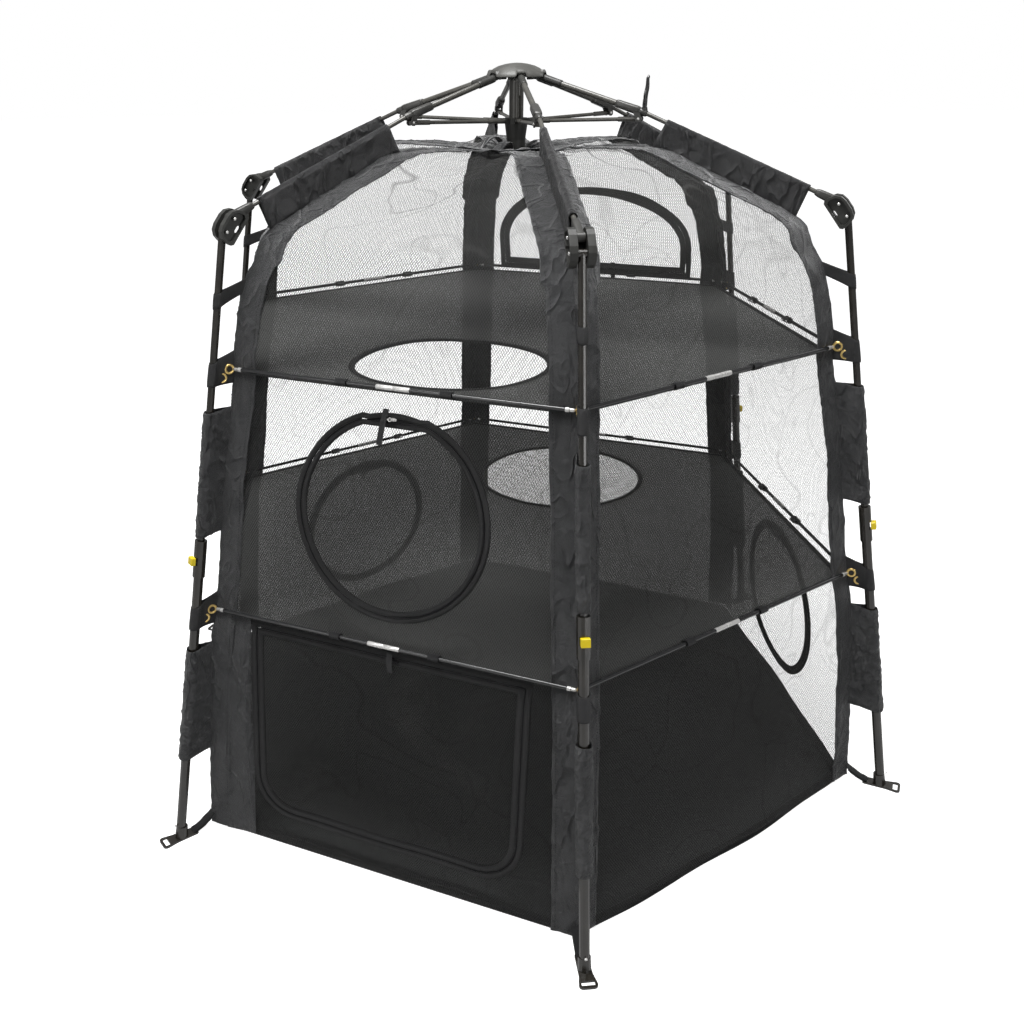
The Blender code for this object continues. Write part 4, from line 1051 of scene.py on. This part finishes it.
def copies(name, prototype, places, look):
    """Copies of a prototype at (place, turn) pairs, as one plain mesh."""
    cloud = bpy.data.meshes.new(name)
    cloud.from_pydata([tuple(place) for place, _ in places], [], [])
    turns = cloud.attributes.new("turn", "FLOAT_VECTOR", "POINT")
    for item, (_, turn) in zip(turns.data, places):
        item.vector = turn
    holder = new_object(name, cloud)
    step = holder.modifiers.new("copies", "NODES")
    step.node_group = COPIES
    given = {"Prototype": prototype, "Finish": look}
    for item in COPIES.interface.items_tree:
        if item.name in given:
            step[item.identifier] = given[item.name]
    mesh = bpy.data.meshes.new_from_object(holder.evaluated_get(bpy.context.evaluated_depsgraph_get()))
    bpy.data.objects.remove(holder, do_unlink=True)
    mesh.name = name
    mesh.shade_smooth()
    mesh.set_sharp_from_angle(angle=radians(35))
    return new_object(name, mesh)


def pattern(made):
    """A piece that only serves to be copied. It is hidden from every view."""
    made.hide_render = made.hide_viewport = True
    return made


ring, ring_half = Skin(), mm((4.7, 0), (5.2, 2.2), (6.8, 2.8), (8.6, 2.6), (9.5, 1.8))
ring.turned([(r, -h) for r, h in ring_half[1:]] + ring_half[:0:-1] + [ring_half[0], (0.0052, -0.0022)])
ring.faces, ring.uvs, ring.looks = ring.faces[:-2], ring.uvs[:-2], ring.looks[:-2]
eyelet = pattern(ring.piece("eyelet_pattern", [], merge=0.00001))
eyelet_sets = []
for k, name in enumerate(corner_names):
    places = [(corner_turn[k] @ Vector((crest_point(z).x + away, 0, z + drop)),
               (radians(90), 0, corner_angle[k]))
              for z in rod_heights.values() for away, drop in mm((12.5, 1), (27.5, -12.5))]
    eyelet_sets.append(copies(f"eyelets_{name}", eyelet, places, BRASS))
print("eyelets:", sum(len(e.data.polygons) for e in eyelet_sets), "faces")

# %% [markdown]
# ## Shelves and floor
# Two shelves of close-woven cloth split the tent into three levels, each with a round
# bound hole. A shelf is a hexagon that the side nets pull tight, so it sags only a
# little, and more beside its hole. A loose net hangs under the lower hole. The floor
# is cloth too, and its hem bulges with the walls.

# %% Shelves and floor
def hexagon(radius):
    return [tuple(polar(radius, angle)) for angle in corner_angle]


def circle(centre, radius, steps=56):
    return arc_points(centre, (radius, radius), 0, 360, steps)[:-1]


def off_corner(angle):
    """Degrees from the nearest corner, for an angle in degrees."""
    return (angle + 90 + 30) % 60 - 30


def laid_at(z, edge, sag, seed, hole=None, hemmed=False):
    """The place rule of a level sheet that is held at its edge."""
    def place(x, y, lift):
        azimuth = degrees(atan2(y, x))
        angle = off_corner(azimuth)
        d = hypot(x, y) * cos(radians(30 - abs(angle))) / (edge * half_cos)
        free = max(0.0, 1 - d * d)
        drop = sag * free * (0.8 + 0.5 * ripple(x * 2.1, y * 2.1, seed))
        drop += 0.0014 * ridge(x * 6 + y * 2, y * 5, seed + 2, 5) * free
        soft = 0.0011 * (0.35 + free) * ripple(x * 9, y * 9, seed + 1)
        if hole:
            (hole_x, hole_y), hole_r = hole
            near = max(hypot(x - hole_x, y - hole_y) - hole_r, 0)
            waves = 1 + 0.4 * sin(atan2(y - hole_y, x - hole_x) * 3 + seed)
            drop += 0.0035 * exp(-near / 0.05) * waves
        if hemmed:
            share = tan(radians(30 - abs(angle))) / tan(radians(30))
            side = int((azimuth + 90) % 360 // 60)
            fade = min(max(d - 0.7, 0.0) / 0.3, 1.0) ** 1.6
            out, up = hem(-copysign(share, angle), side, fade)
            x, y, soft = x * (1 + out / edge), y * (1 + out / edge), soft + up
        return Vector((x, y, z - drop + soft + lift))
    return place


def loose_in(hole, place):
    """The place rule of a net that hangs in soft folds under a hole of a level sheet."""
    def hung(x, y, lift):
        off = hypot(x - hole[0][0], y - hole[0][1]) / hole[1]
        fold = ridge(x * 9 - y * 7, y * 3, 91, 4) * (1 - off**4)
        return place(x, y, lift - 0.010 * (1 - off * off) + 0.010 * fold)
    return hung


shelf_holes = {"upper": ((-0.157, -0.265), 0.175), "lower": ((0.163, 0.280), 0.190)}
shelf_seeds = {"upper": 5, "lower": 6}
shelf_pieces, shelf_reach = {}, {}
for level, z in shelf_heights.items():
    skin, hole = Skin(), shelf_holes[level]
    reach = shelf_reach[level] = crest_point(z).x - 0.0045 / half_cos
    place = laid_at(z + 0.0028, reach, 0.007, shelf_seeds[level], hole)
    sheet(skin, hexagon(reach), [circle(*hole)], place, 0.024)
    band(skin, hexagon(reach), -0.011, 0.0, place, 0.0006)
    for out, crown in ((0.0006, 0.0012), (-0.0016, -0.0008)):
        band(skin, circle(*hole), -0.0005, 0.011, place, out, crown)
    if level == "lower":
        loose = Skin()
        sheet(loose, circle(hole[0], hole[1] * 0.997), [], loose_in(hole, place), 0.016)
        hole_net = loose.woven("hole_net_lower", [DENSE])
    shelf_pieces[level] = skin.woven(f"shelf_{level}_cloth", [SHELF, TAPE])

floor_r = floor_corner_r - 0.003
place = laid_at(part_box("tent_floor")[1][2] - 0.0004, floor_r, 0.0, 8, hemmed=True)
skin = Skin()
sheet(skin, hexagon(floor_r), [], place, 0.026)
band(skin, hexagon(floor_r), -0.020, 0.0, place, 0.0008, 0.0010)
floor_piece = skin.woven("floor_sheet", [FLOOR, TAPE])
print("shelves and floor:", [len(p.data.polygons) for p in (*shelf_pieces.values(), floor_piece)])

# %% [markdown]
# ## Straps from the floor to the feet
# A short webbing strap leaves each corner of the floor, goes round the inner bar of a
# foot's ground plate and comes back. Its path is a list of points in the corner's plane.

# %% Straps from the floor to the feet
across_strap, strap_w = (-1, -0.7, -0.3, 0, 0.3, 0.7, 1), 0.0184
route = [Vector(p) for p in mm(
    (753.5, 30), (757.5, 26.5), (766, 21.5), (776, 15), (786, 9.5), (793.5, 7.5), (797.5, 6), (799, 3),
    (797.2, 1.8), (793.5, 3.2), (786, 6.8), (775, 11.8), (765, 18), (759, 22.5))]
path = [route[0]] + [a.lerp(b, t / 3) for a, b in zip(route, route[1:]) for t in (1, 2, 3)]
strap_pieces = []
for k, name in enumerate(corner_names):
    skin = Skin(corner_turn[k])
    rows, coords, along = [], [], 0.0
    for j, p in enumerate(path):
        along += (p - path[max(j - 1, 0)]).length
        sway = 0.0012 * ripple(j * 0.35, k * 3, 91)
        half = strap_w / 2 * (1 + 0.04 * ripple(j * 0.5, k, 93))
        rows.append([Vector((p.x, half * t, p.y + 0.0006 * (1 - t * t) + sway * t)) for t in across_strap])
        coords.append([(half * t, along) for t in across_strap])
    skin.rows(rows, 0, coords)
    piece = thick(skin.piece(f"floor_strap_{name}", [WEBBING], outward=False), 0.0012, 0.0)
    strap_pieces.append((piece, along))
print("straps:", len(strap_pieces))

# %% [markdown]
# ## Small parts that repeat
# Rivets hold the knuckles and the feet, black loops of tape hold the rods to the net,
# and lines of stitches close every strip. Each is one pattern, copied by the same tree.

# %% Rivets, rod loops and stitches
dome = Skin().turned(mm((0, -0.8), (2.6, -0.8), (2.7, 0), (2.4, 0.8), (1.6, 1.4), (0.7, 1.6), (0, 1.65)),
                     sides=16)
rivet = pattern(dome.piece("rivet_pattern", []))
knuckle_half = max(abs(c[0]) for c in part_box("knuckle_front")) - 0.0002
quarter = radians(90)
knuckle_rivets, foot_rivets = [], []
for k, name in enumerate(corner_names):
    places = [(corner_turn[k] @ Vector((r, side * knuckle_half, z)), (-side * quarter, 0, corner_angle[k]))
              for r, z in (knuckle_at, (0.6225, 1.14706)) for side in (-1, 1)]
    knuckle_rivets.append(copies(f"rivets_{name}", rivet, places, STEEL))
    at = Vector((leg_point(0.030).x, 0, 0.030)) + Vector((cos(lean), 0, sin(lean))) * 0.0121
    places = [(corner_turn[k] @ at, (0, quarter - lean, corner_angle[k]))]
    foot_rivets.append(copies(f"foot_rivet_{name}", rivet, places, STEEL))

loop, rows, coords = Skin(), [], []
for j in range(7):
    y = -0.010 + 0.020 * j / 6
    around = [polar(0.0054, radians(150 - 300 * i / 16)) for i in range(17)]
    ends = [Vector((-0.0112, side * 0.0009)) for side in (1, -1)]
    rows.append([Vector((p.x, y, p.y)) for p in (ends[0], *around, ends[1])])
    coords.append([(0.003 * i, y) for i in range(19)])
loop.rows(rows, 0, coords)
rod_loop = pattern(thick(loop.piece("loop_pattern", [], outward=False), 0.0009, 1.0))
rod_loops = {}
for level, z in rod_heights.items():
    away = hoop_corner[level] * half_cos + 0.0002
    places = [(wall_turn[k] @ Vector((away, side * 0.096, z)), (0, 0, wall_angle[k]))
              for k in range(6) for side in (-1, 1)]
    rod_loops[level] = copies(f"rod_loops_{level}", rod_loop, places, WEBBING)

dash = Skin().turned(mm((0, -1.5), (0.28, -1.3), (0.4, -0.6), (0.4, 0.6), (0.28, 1.3), (0, 1.5)), sides=5)
stitch = pattern(dash.piece("stitch_pattern", []))
seam_len, seam_pieces = crest_len - 0.06, []
count = int(seam_len / 0.0055)
for k, name in enumerate(corner_names):
    places = []
    for t in (-0.84, 0.84):
        for run in (0.01 + seam_len * j / count for j in range(count)):
            a, b = (on_strip(t, run + step, k, 0.0002) for step in (0, 0.003))
            turn = (corner_turn[k].to_3x3() @ (b - a)).to_track_quat("Z", "Y").to_euler()
            places.append((corner_turn[k] @ a.lerp(b, 0.5), tuple(turn)))
    seam_pieces.append(copies(f"stitches_{name}", stitch, places, THREAD))
print("rivets, loops, stitches:", sum(len(o.data.polygons) for o in
                                      (*knuckle_rivets, *rod_loops.values(), *seam_pieces)))

# %% [markdown]
# ## The frame's own finishes
# Legs, struts, knuckles, slider and buttons are rigid and keep their CAD shape. They get
# the dark and the grey of coated tube, the fine grain of moulded plastic, and yellow.

# %% Finishes of the frame
finish_by_node = {"upper_leg_": POLE, "lower_leg_": POLE, "strut_": TUBE, "hub": PLASTIC,
                  "slider": PLASTIC, "knuckle_": PLASTIC, "leg_button_": YELLOW}
for node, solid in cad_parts.items():
    for start, look in finish_by_node.items():
        if node.startswith(start):
            for slot in solid.material_slots:
                slot.material = look
print("finishes on CAD nodes:", len(finish_by_node))

# %% [markdown]
# ## The hub and its post
# The cap is a shallow dome whose skirt is notched for the six ribs, so its height along
# the rim follows the angle. The post is a tube with two long slots, and its section
# follows the angle too.

# %% Hub and post
def notch(angle):
    """1 at a rib's azimuth, 0 away from it, for an angle in degrees."""
    return min(max((10.5 - abs(off_corner(angle))) / 2.5, 0.0), 1.0)


skin = Skin()
(_, _, post_low), (_, _, top_z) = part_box("hub_and_post")
crown = mm((0.5, 0), (10, 0.5), (20, 2.1), (30, 5.3), (38, 9.5), (44, 14), (48, 18.2), (50, 21.2),
           (50.3, 23), (49.7, 24), (48, 23.8), (47, 20.5), (40, 13.5), (20, 6.2), (0.5, 4.5))
rows = []
for n, (r, drop) in enumerate(crown):
    r *= 1 + 0.13 * min(r / 0.03, 1.0) ** 2
    row = []
    for angle in (2.5 * i for i in range(144)):
        cut_in = notch(angle)
        rim = 0.0012 * (1 - cut_in)
        low = drop + rim * (7 <= n <= 9) - 0.0060 * cut_in * (6 <= n <= 10)
        row.append(polar(r + rim * (6 <= n <= 9), radians(angle), top_z - low))
    rows.append(row)
skin.rows(rows, 0, ring=True)
skin.turned(mm((0, -25.5), (30, -25.5), (34.5, -23.5), (35, -21.5), (35, -15), (33, -13.5), (0, -12.5)),
            (0, 0, top_z), sides=36, look=2)
block = rounded([(x, 0, top_z - d) for x, d in mm((30, 30), (45.5, 28.5), (46.5, 16), (30, 12))], 0.003)
for turn in wall_turn:
    skin.plate([turn @ p for p in block], turn.to_3x3() @ Vector((0, 0.010, 0)), 2)
slots = [(110.0, 9.0), (290.0, 9.0), (20.0, 5.0), (200.0, 5.0)]
rows = []
for z in (1.374, 1.345, 1.342, 1.338, 1.306, 1.302, 1.299, 1.262, post_low + 0.0005):
    row = []
    for angle in (5.0 * i for i in range(72)):
        near = min(abs((angle - at + 180) % 360 - 180) - wide for at, wide in slots)
        deep = 0.0035 if near < 0 and z < 1.340 else 0.0
        groove = 0.0006 if abs((angle % 60) - 30) < 6 else 0.0
        row.append(polar(0.0137 - deep - groove, radians(angle), z))
    rows.append(row)
skin.rows(rows, 1, ring=True, caps=True)
hub_piece = skin.piece("hub_cap_and_post", [CAP, TUBE, PLASTIC], smooth=40)
print("hub:", len(hub_piece.data.polygons), "faces")

# %% [markdown]
# ## Ribs, brackets and the pull loop
# A rib is a tube, a thinner rod and three moulded fittings: the eye at the hub, the grey
# saddle that carries the strut's fork, and the end that enters the knuckle. Moulded
# fittings are lofts through rounded sections, so their edges catch light as real ones do.

# %% Ribs
squareness = 0.55


def lofted(skin, stations, look, sides=20):
    """A solid through rounded sections: (outwards, up, half width, half height) each."""
    rows = []
    for i, (x, z, half_w, half_h) in enumerate(stations):
        (x0, z0, *_), (x1, z1, *_) = stations[max(i - 1, 0)], stations[min(i + 1, len(stations) - 1)]
        up = Vector((-(z1 - z0), 0, x1 - x0)).normalized()
        row = []
        for a in (tau * s / sides for s in range(sides)):
            c, v = (copysign(abs(n) ** squareness, n) for n in (cos(a), sin(a)))
            row.append(Vector((x, c * half_w, z)) + up * v * half_h)
        rows.append(row)
    skin.rows(rows, look, ring=True, caps=True)


def along_rib(start, direction, s):
    p = start + direction * s
    return Vector((p.x, 0, p.y))


def stations(start, direction, *rows):
    """Sections along a line of the rib, from rows of distance, half width and half height in mm."""
    return [(*along_rib(start, direction, s).xz, w, h) for s, w, h in mm(*rows)]


inner_dir = (rib_kink - rib_pivot).normalized()
outer_dir = (knuckle_at - rib_kink).normalized()
rib_len, rod_end = (rib_kink - rib_pivot).length, (knuckle_at - rib_kink).length - 0.028
pivot_at, kink_at, end_at = (Vector((p.x, 0, p.y)) for p in (rib_pivot, rib_kink, knuckle_at))
inner, outer = (Vector((d.x, 0, d.y)) for d in (inner_dir, outer_dir))
fork_pin = Vector((0.2415, 1.3024))
root = (rib_pivot + inner_dir * 0.206)
fork = [root + Vector((-0.0070, -0.002)), root + Vector((0.0065, -0.004)),
        fork_pin + Vector((0.0056, 0.0010))]
fork += [fork_pin + polar(0.0056, radians(-12 * n)) for n in range(1, 15)]
fork += [fork_pin + Vector((-0.0058, 0.0020))]
across = (0, 1, 0)
rib_pieces = []
for k, name in enumerate(corner_names):
    skin = Skin(corner_turn[k])
    skin.turned(mm((0, -6.9), (4, -6.9), (5, -6.2), (5, 6.2), (4, 6.9), (0, 6.9)), pivot_at, across, 20, 1)
    lofted(skin, stations(rib_pivot, inner_dir, (1, 6.2, 4.0), (6, 6.6, 4.5), (14, 6.4, 5.0),
                          (19, 6.0, 5.8)), 1)
    skin.turned(mm((0, 13), (5.8, 13.5), (6.9, 15.5), (7.1, 20), (6.6, 46), (6.7, 46.5), (6.7, 52),
                   (6, 53), (0, 53.5)), pivot_at, inner, 20, 1)
    skin.turned([(0.0, 0.045), (0.00525, 0.0455), (0.00525, rib_len - 0.002), (0.0046, rib_len),
                 (0.0, rib_len + 0.0005)], pivot_at, inner, 20)
    skin.turned([(0.0, -0.006), (0.0040, -0.0055), (0.0040, rod_end), (0.0, rod_end + 0.001)], kink_at,
                outer, 16)
    lofted(skin, stations(rib_pivot + Vector((0, 0.0002)), inner_dir, (164, 6, 5.6), (165, 7, 6.4),
                          (169, 7.8, 6.9), (184, 8.1, 7.2), (192, 8.1, 7.4), (206, 7.9, 7.8),
                          (211, 7, 6.8), (212, 6, 5.8)), 2, 24)
    skin.turned(mm((0, 208), (6.2, 208), (6.6, 213), (6.2, 223), (5, 225.5), (0, 226)), pivot_at, inner,
                20, 2)
    for side in (-1, 1):
        skin.plate([(x, side * 0.0051, z) for x, z in fork], (0, side * 0.0029, 0), 2)
        skin.turned(mm((0, 0), (2.4, 0), (2.4, 0.9), (1.5, 1.4), (0, 1.5)),
                    (fork_pin.x, side * 0.0079, fork_pin.y), (0, side, 0), 14, 3)
    lofted(skin, stations(knuckle_at, -outer_dir, (46, 4.2, 4.6), (44.5, 5.2, 5.6), (38, 6.2, 7.0),
                          (20, 6.8, 7.8), (8, 6.8, 7.9), (0, 6.8, 7.8)), 2, 22)
    skin.turned(mm((0, -6.8), (7, -6.8), (7.8, -6), (7.8, 6), (7, 6.8), (0, 6.8)), end_at, across, 22, 2)
    rib_pieces.append(skin.piece(f"rib_bar_{name}", [TUBE, PLASTIC, BRACKET, STEEL], smooth=40))

skin = Skin(corner_turn[corner_names.index("right_front")])
foot, leaning = kink_at - outer * 0.001 + Vector((-0.004, 0, 0.0065)), (0.05, 0, 1)
strands = []
for side in (-1, 1):
    strand = []
    for s in range(13):
        spread = 0.0042 * max(sin(pi * s / 12), 0.0) ** 1.5 * (1 - 0.2 * side)
        strand.append(foot + Vector((0.0006 * sin(s * 0.9) + 0.004 * s / 12,
                                     side * (0.0026 + spread), 0.0045 * s)))
    strands.append(strand)
top = [foot + Vector((0.0045, 0.0016 * cos(a), 0.0540 + 0.0030 * sin(a)))
       for a in (radians(20 + 35 * n) for n in range(5))]
skin.tube(strands[1] + top + strands[0][::-1], 0.0023, 8, 0)
skin.turned(mm((0, -1), (4, -0.5), (4.4, 2), (4.2, 11), (3.6, 12.5), (0, 12.8)),
            foot + Vector((0, 0, 0.006)), leaning, 16, 1)
skin.turned(mm((0, -4), (5.2, -3.5), (5.8, 0.5), (4.6, 5), (0, 6.5)), foot, leaning, 16, 2)
pull_loop = skin.piece("pull_loop", [ROD, BRACKET, PLASTIC], smooth=40)
print("ribs:", len(rib_pieces), "of", len(rib_pieces[0].data.polygons), "faces")

# %% [markdown]
# ## Roof patch, zip pulls and loose ends
# Where the six strips meet, a patch of the same oxford is sewn over them round the post,
# and the ends of its ribbons stick up in folds. Each zip ends in a bright slider with a
# ribbon to pull it by.

# %% Patch, pulls and ribbons
across_ribbon = (-1, -0.85, -0.4, 0, 0.4, 0.85, 1)


def ribbon(skin, path, half, side, waves=0.0, seed=0):
    """A flat tape along a path. side is the direction across it."""
    side = Vector(side).normalized()
    rows, coords, along = [], [], 0.0
    for j, p in enumerate(path):
        along += (p - path[max(j - 1, 0)]).length
        ahead = (path[min(j + 1, len(path) - 1)] - path[max(j - 1, 0)]).normalized()
        out = ahead.cross(side).normalized()
        lifts = [0.0006 * (1 - t * t) + waves * ripple(j * 0.5, t * 2, seed) for t in across_ribbon]
        rows.append([p + side * half * t + out * lift for t, lift in zip(across_ribbon, lifts)])
        coords.append([(half * t, along) for t in across_ribbon])
    skin.rows(rows, 0, coords)


def on_roof(x, y, lift):
    """The place rule of the roof near its middle."""
    r, angle = hypot(x, y), atan2(y, x)
    z = crest_at(crest_len - r)[1]
    droop = cos(radians(off_corner(degrees(angle)) * 6))
    droop = 0.0035 * (1 - droop) / 2 * min(r / 0.1, 1.0)
    c, s = cos(angle), sin(angle)
    fold = 0.0024 * ripple(c * 5, s * 5 + r * 9, 71) + 0.0030 * ridge(c * 9, s * 9 + r * 4, 73, 5)
    return Vector((x, y, z - droop + fold + 0.0065 + lift))


skin = Skin()
patch_r, hub_hole = 0.118, 0.0195
edge = [(patch_r * (1 + 0.05 * ripple(a, 0.3, 77)) * cos(a), patch_r * sin(a))
        for a in (radians(7.5 * i) for i in range(48))]
sheet(skin, edge, [circle((0, 0), hub_hole, 24)], on_roof, 0.009)
for turn, reach, high, half in (
        (205, 0.062, 0.026, 0.011), (232, 0.050, 0.020, 0.010), (180, 0.070, 0.018, 0.012),
        (318, 0.052, 0.014, 0.007), (150, 0.060, 0.022, 0.010), (20, 0.055, 0.016, 0.009)):
    a = radians(turn)
    out, side = polar(1, a, 0), polar(1, a + pi / 2, 0)
    base = on_roof(*(out * 0.026).xy, 0.001)
    path = [base + out * reach * s + Vector((0, 0, high * sin(pi * min(s * 1.08, 1)) ** 0.8))
            + side * 0.006 * sin(s * 4) for s in (n / 10 for n in range(11))]
    ribbon(skin, path, half, side, 0.0012, turn)
patch = thick(skin.piece("roof_patch", [OXFORD], outward=False, smooth=50), 0.0009, 1.0)

# Each plate of a slider: corners across and along it, rounding, lift and depth.
slider = [([(-7.5, -4.5), (6.5, -3.2), (8.5, 0), (6.5, 3.2), (-7.5, 4.5)], 2.2, -3.0, 2.2),
          ([(-6, -1.5), (4, -1.5), (4, 1.5), (-6, 1.5)], 1.2, -0.6, 2.2),
          ([(-28, -1.8), (-9.5, -2.6), (-9.5, 2.6), (-28, 1.8)], 1.4, 1.2, 1.2)]


def zip_pull(k, across, run, ribbon_len, slant):
    """A ribbon and a slider at a place on a panel."""
    skin = Skin(wall_turn[k])
    hang = slack(across, run, k)
    path = [on_panel(across - slant * s, run - ribbon_len * (s - 0.12),
                     0.0060 + 0.0030 * sin(s * 3.1) + hang) for s in (n / 9 for n in range(10))]
    ribbon(skin, path, 0.0055, (0, 1, 0))
    body = on_panel(across + 0.013, run - 0.010, 0.0050 + hang)
    n = crest_normal(run)
    out, up, beside = Vector((n.x, 0, n.y)), Vector((-n.y, 0, n.x)), Vector((0, 1, 0))
    for corners, round_off, lift, deep in slider:
        outline = [body + (beside * y + up * z) * 0.66 + out * (lift / 1000)
                   for y, z in rounded(mm(*corners), round_off / 1000)]
        skin.plate(outline, out * (deep / 1000), 1)
    eye_at = body + out * 0.0020 - beside * 0.0055
    skin.tube([eye_at + beside * 0.0024 * cos(t) + up * 0.0032 * sin(t)
               for t in (tau * i / 14 for i in range(15))], 0.0008, 6, 1)
    return skin


pulls = {"front_hatch": (5, -0.012, run_at(0.869), 0.062, 0.010),
         "right_hatch": (1, -0.005, run_at(0.405), 0.055, 0.0),
         "back_hatch": (3, 0.006, run_at(0.411), 0.055, 0.0),
         "front_door": (5, 0.012, run_at(0.452), 0.034, -0.004),
         "back_window": (2, -0.05, run_at(0.934), 0.040, 0.0)}
pull_pieces = {flap: zip_pull(*at).piece(f"pull_{flap}", [WEBBING, ZIP if "door" in flap else STEEL],
                                         smooth=40) for flap, at in pulls.items()}
print("patch and pulls:", len(patch.data.polygons), len(pull_pieces))
# %% [markdown]
# ## What each piece rides on
# Each piece rides on a body of the frame and hides the CAD nodes that it stands for; a soft one gets a
# mesh of its own.


def stands_for(piece, body, slot, *nodes, soft=False):
    """Rides a piece on a body and hides the CAD nodes it stands for; a soft one gets a mesh of its own.
    The slot is not used.
    """
    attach(piece, body)
    if nodes:
        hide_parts(*nodes)
    if soft:
        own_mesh(piece)


def area_of(outline):
    return abs(sum(a[0] * b[1] - b[0] * a[1] for a, b in zip(outline, outline[1:] + outline[:1]))) / 2


def cut(piece, outline, holes=()):
    """Works out the area of a flat cut, less its holes, and keeps it nowhere. The piece is not used."""
    area = area_of(outline) - sum(area_of(hole) for hole in holes)


for k, name in enumerate(wall_names):
    stands_for(wall_pieces[name], "hub", "white_mesh", f"wall_{name}", soft=True)
    trims = [wall_trims[name]] if name in wall_trims else []
    trims += [pull_pieces[flap] for flap in pulls if flaps[flap][0] == k]
    for piece in trims:
        stands_for(piece, "hub", "black_oxford", soft=True)
    cut(wall_pieces[name], panel_outline(), openings[name])
for flap, piece in flap_pieces.items():
    wall, outline = flaps[flap]
    stands_for(piece, flap, "white_mesh", flap, soft=True)
    stands_for(flap_trims[flap], flap, "black_oxford", soft=True)
    cut(piece, on_runs(outline), ())
half_strip = [(wing_at(run), run) for run in (0.003 + strip_len * i / 40 for i in range(41))]
for k, name in enumerate(corner_names):
    stands_for(strip_pieces[k], "hub", "black_oxford", f"corner_strip_{name}", soft=True)
    sewn_on = [eyelet_sets[k], seam_pieces[k]]
    for piece in sewn_on:
        stands_for(piece, "hub", "black_oxford", soft=True)
    cut(strip_pieces[k], [(-half, run) for half, run in half_strip] + half_strip[::-1],
        ())
    leg = f"lower_leg_{name}"
    for piece, flat_cut, held in tie_pieces[k]:
        stands_for(piece, "hub", "black_oxford", soft=True)
    valance, flat_cut = valances[k]
    stands_for(valance, f"rib_{name}", "black_oxford")
    stands_for(rib_pieces[k], f"rib_{name}", "pole_metal", f"rib_{name}")
    stands_for(knuckle_rivets[k], f"knuckle_{name}", "leg_metal")
    stands_for(foot_rivets[k], leg, "leg_metal")
    strap, strap_len = strap_pieces[k]
    stands_for(strap, leg, "black_oxford")
print("ties, flat:", [[round(x, 3) for x in flat_cut] for _, flat_cut, _ in tie_pieces[0]],
      "valance, flat:", [round(x, 3) for x in valances[0][1]], "strap:", round(strap_pieces[0][1], 3))
for level, rods in rod_pieces.items():
    tier = f"tier_{level}"
    stands_for(rods, tier, "rod_black", f"rod_hoop_{level}")
    stands_for(shelf_pieces[level], tier, "shelf_cloth", f"shelf_{level}")
    stands_for(rod_loops[level], tier, "black_oxford")
    cut(shelf_pieces[level], hexagon(shelf_reach[level]),
        [circle(*shelf_holes[level])])
stands_for(hole_net, "tier_lower", "black_oxford")
cut(hole_net, circle(*shelf_holes["lower"]))
stands_for(floor_piece, "hub", "shelf_cloth", "tent_floor")
cut(floor_piece, hexagon(floor_r))
stands_for(hub_piece, "hub", "hub_plastic", "hub_and_post")
stands_for(pull_loop, "rib_right_front", "rod_black")
stands_for(patch, "hub", "black_oxford", soft=True)
cut(patch, circle((0, 0), patch_r), [circle((0, 0), hub_hole)])
# %% [markdown]
# ## The size of what is seen
# The box round all visible pieces is printed beside the CAD's own, so that both can be compared.

# %% Bounds and finish
new_box = [list(corner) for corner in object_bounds()]
print("visual box", [[round(c, 3) for c in corner] for corner in new_box])
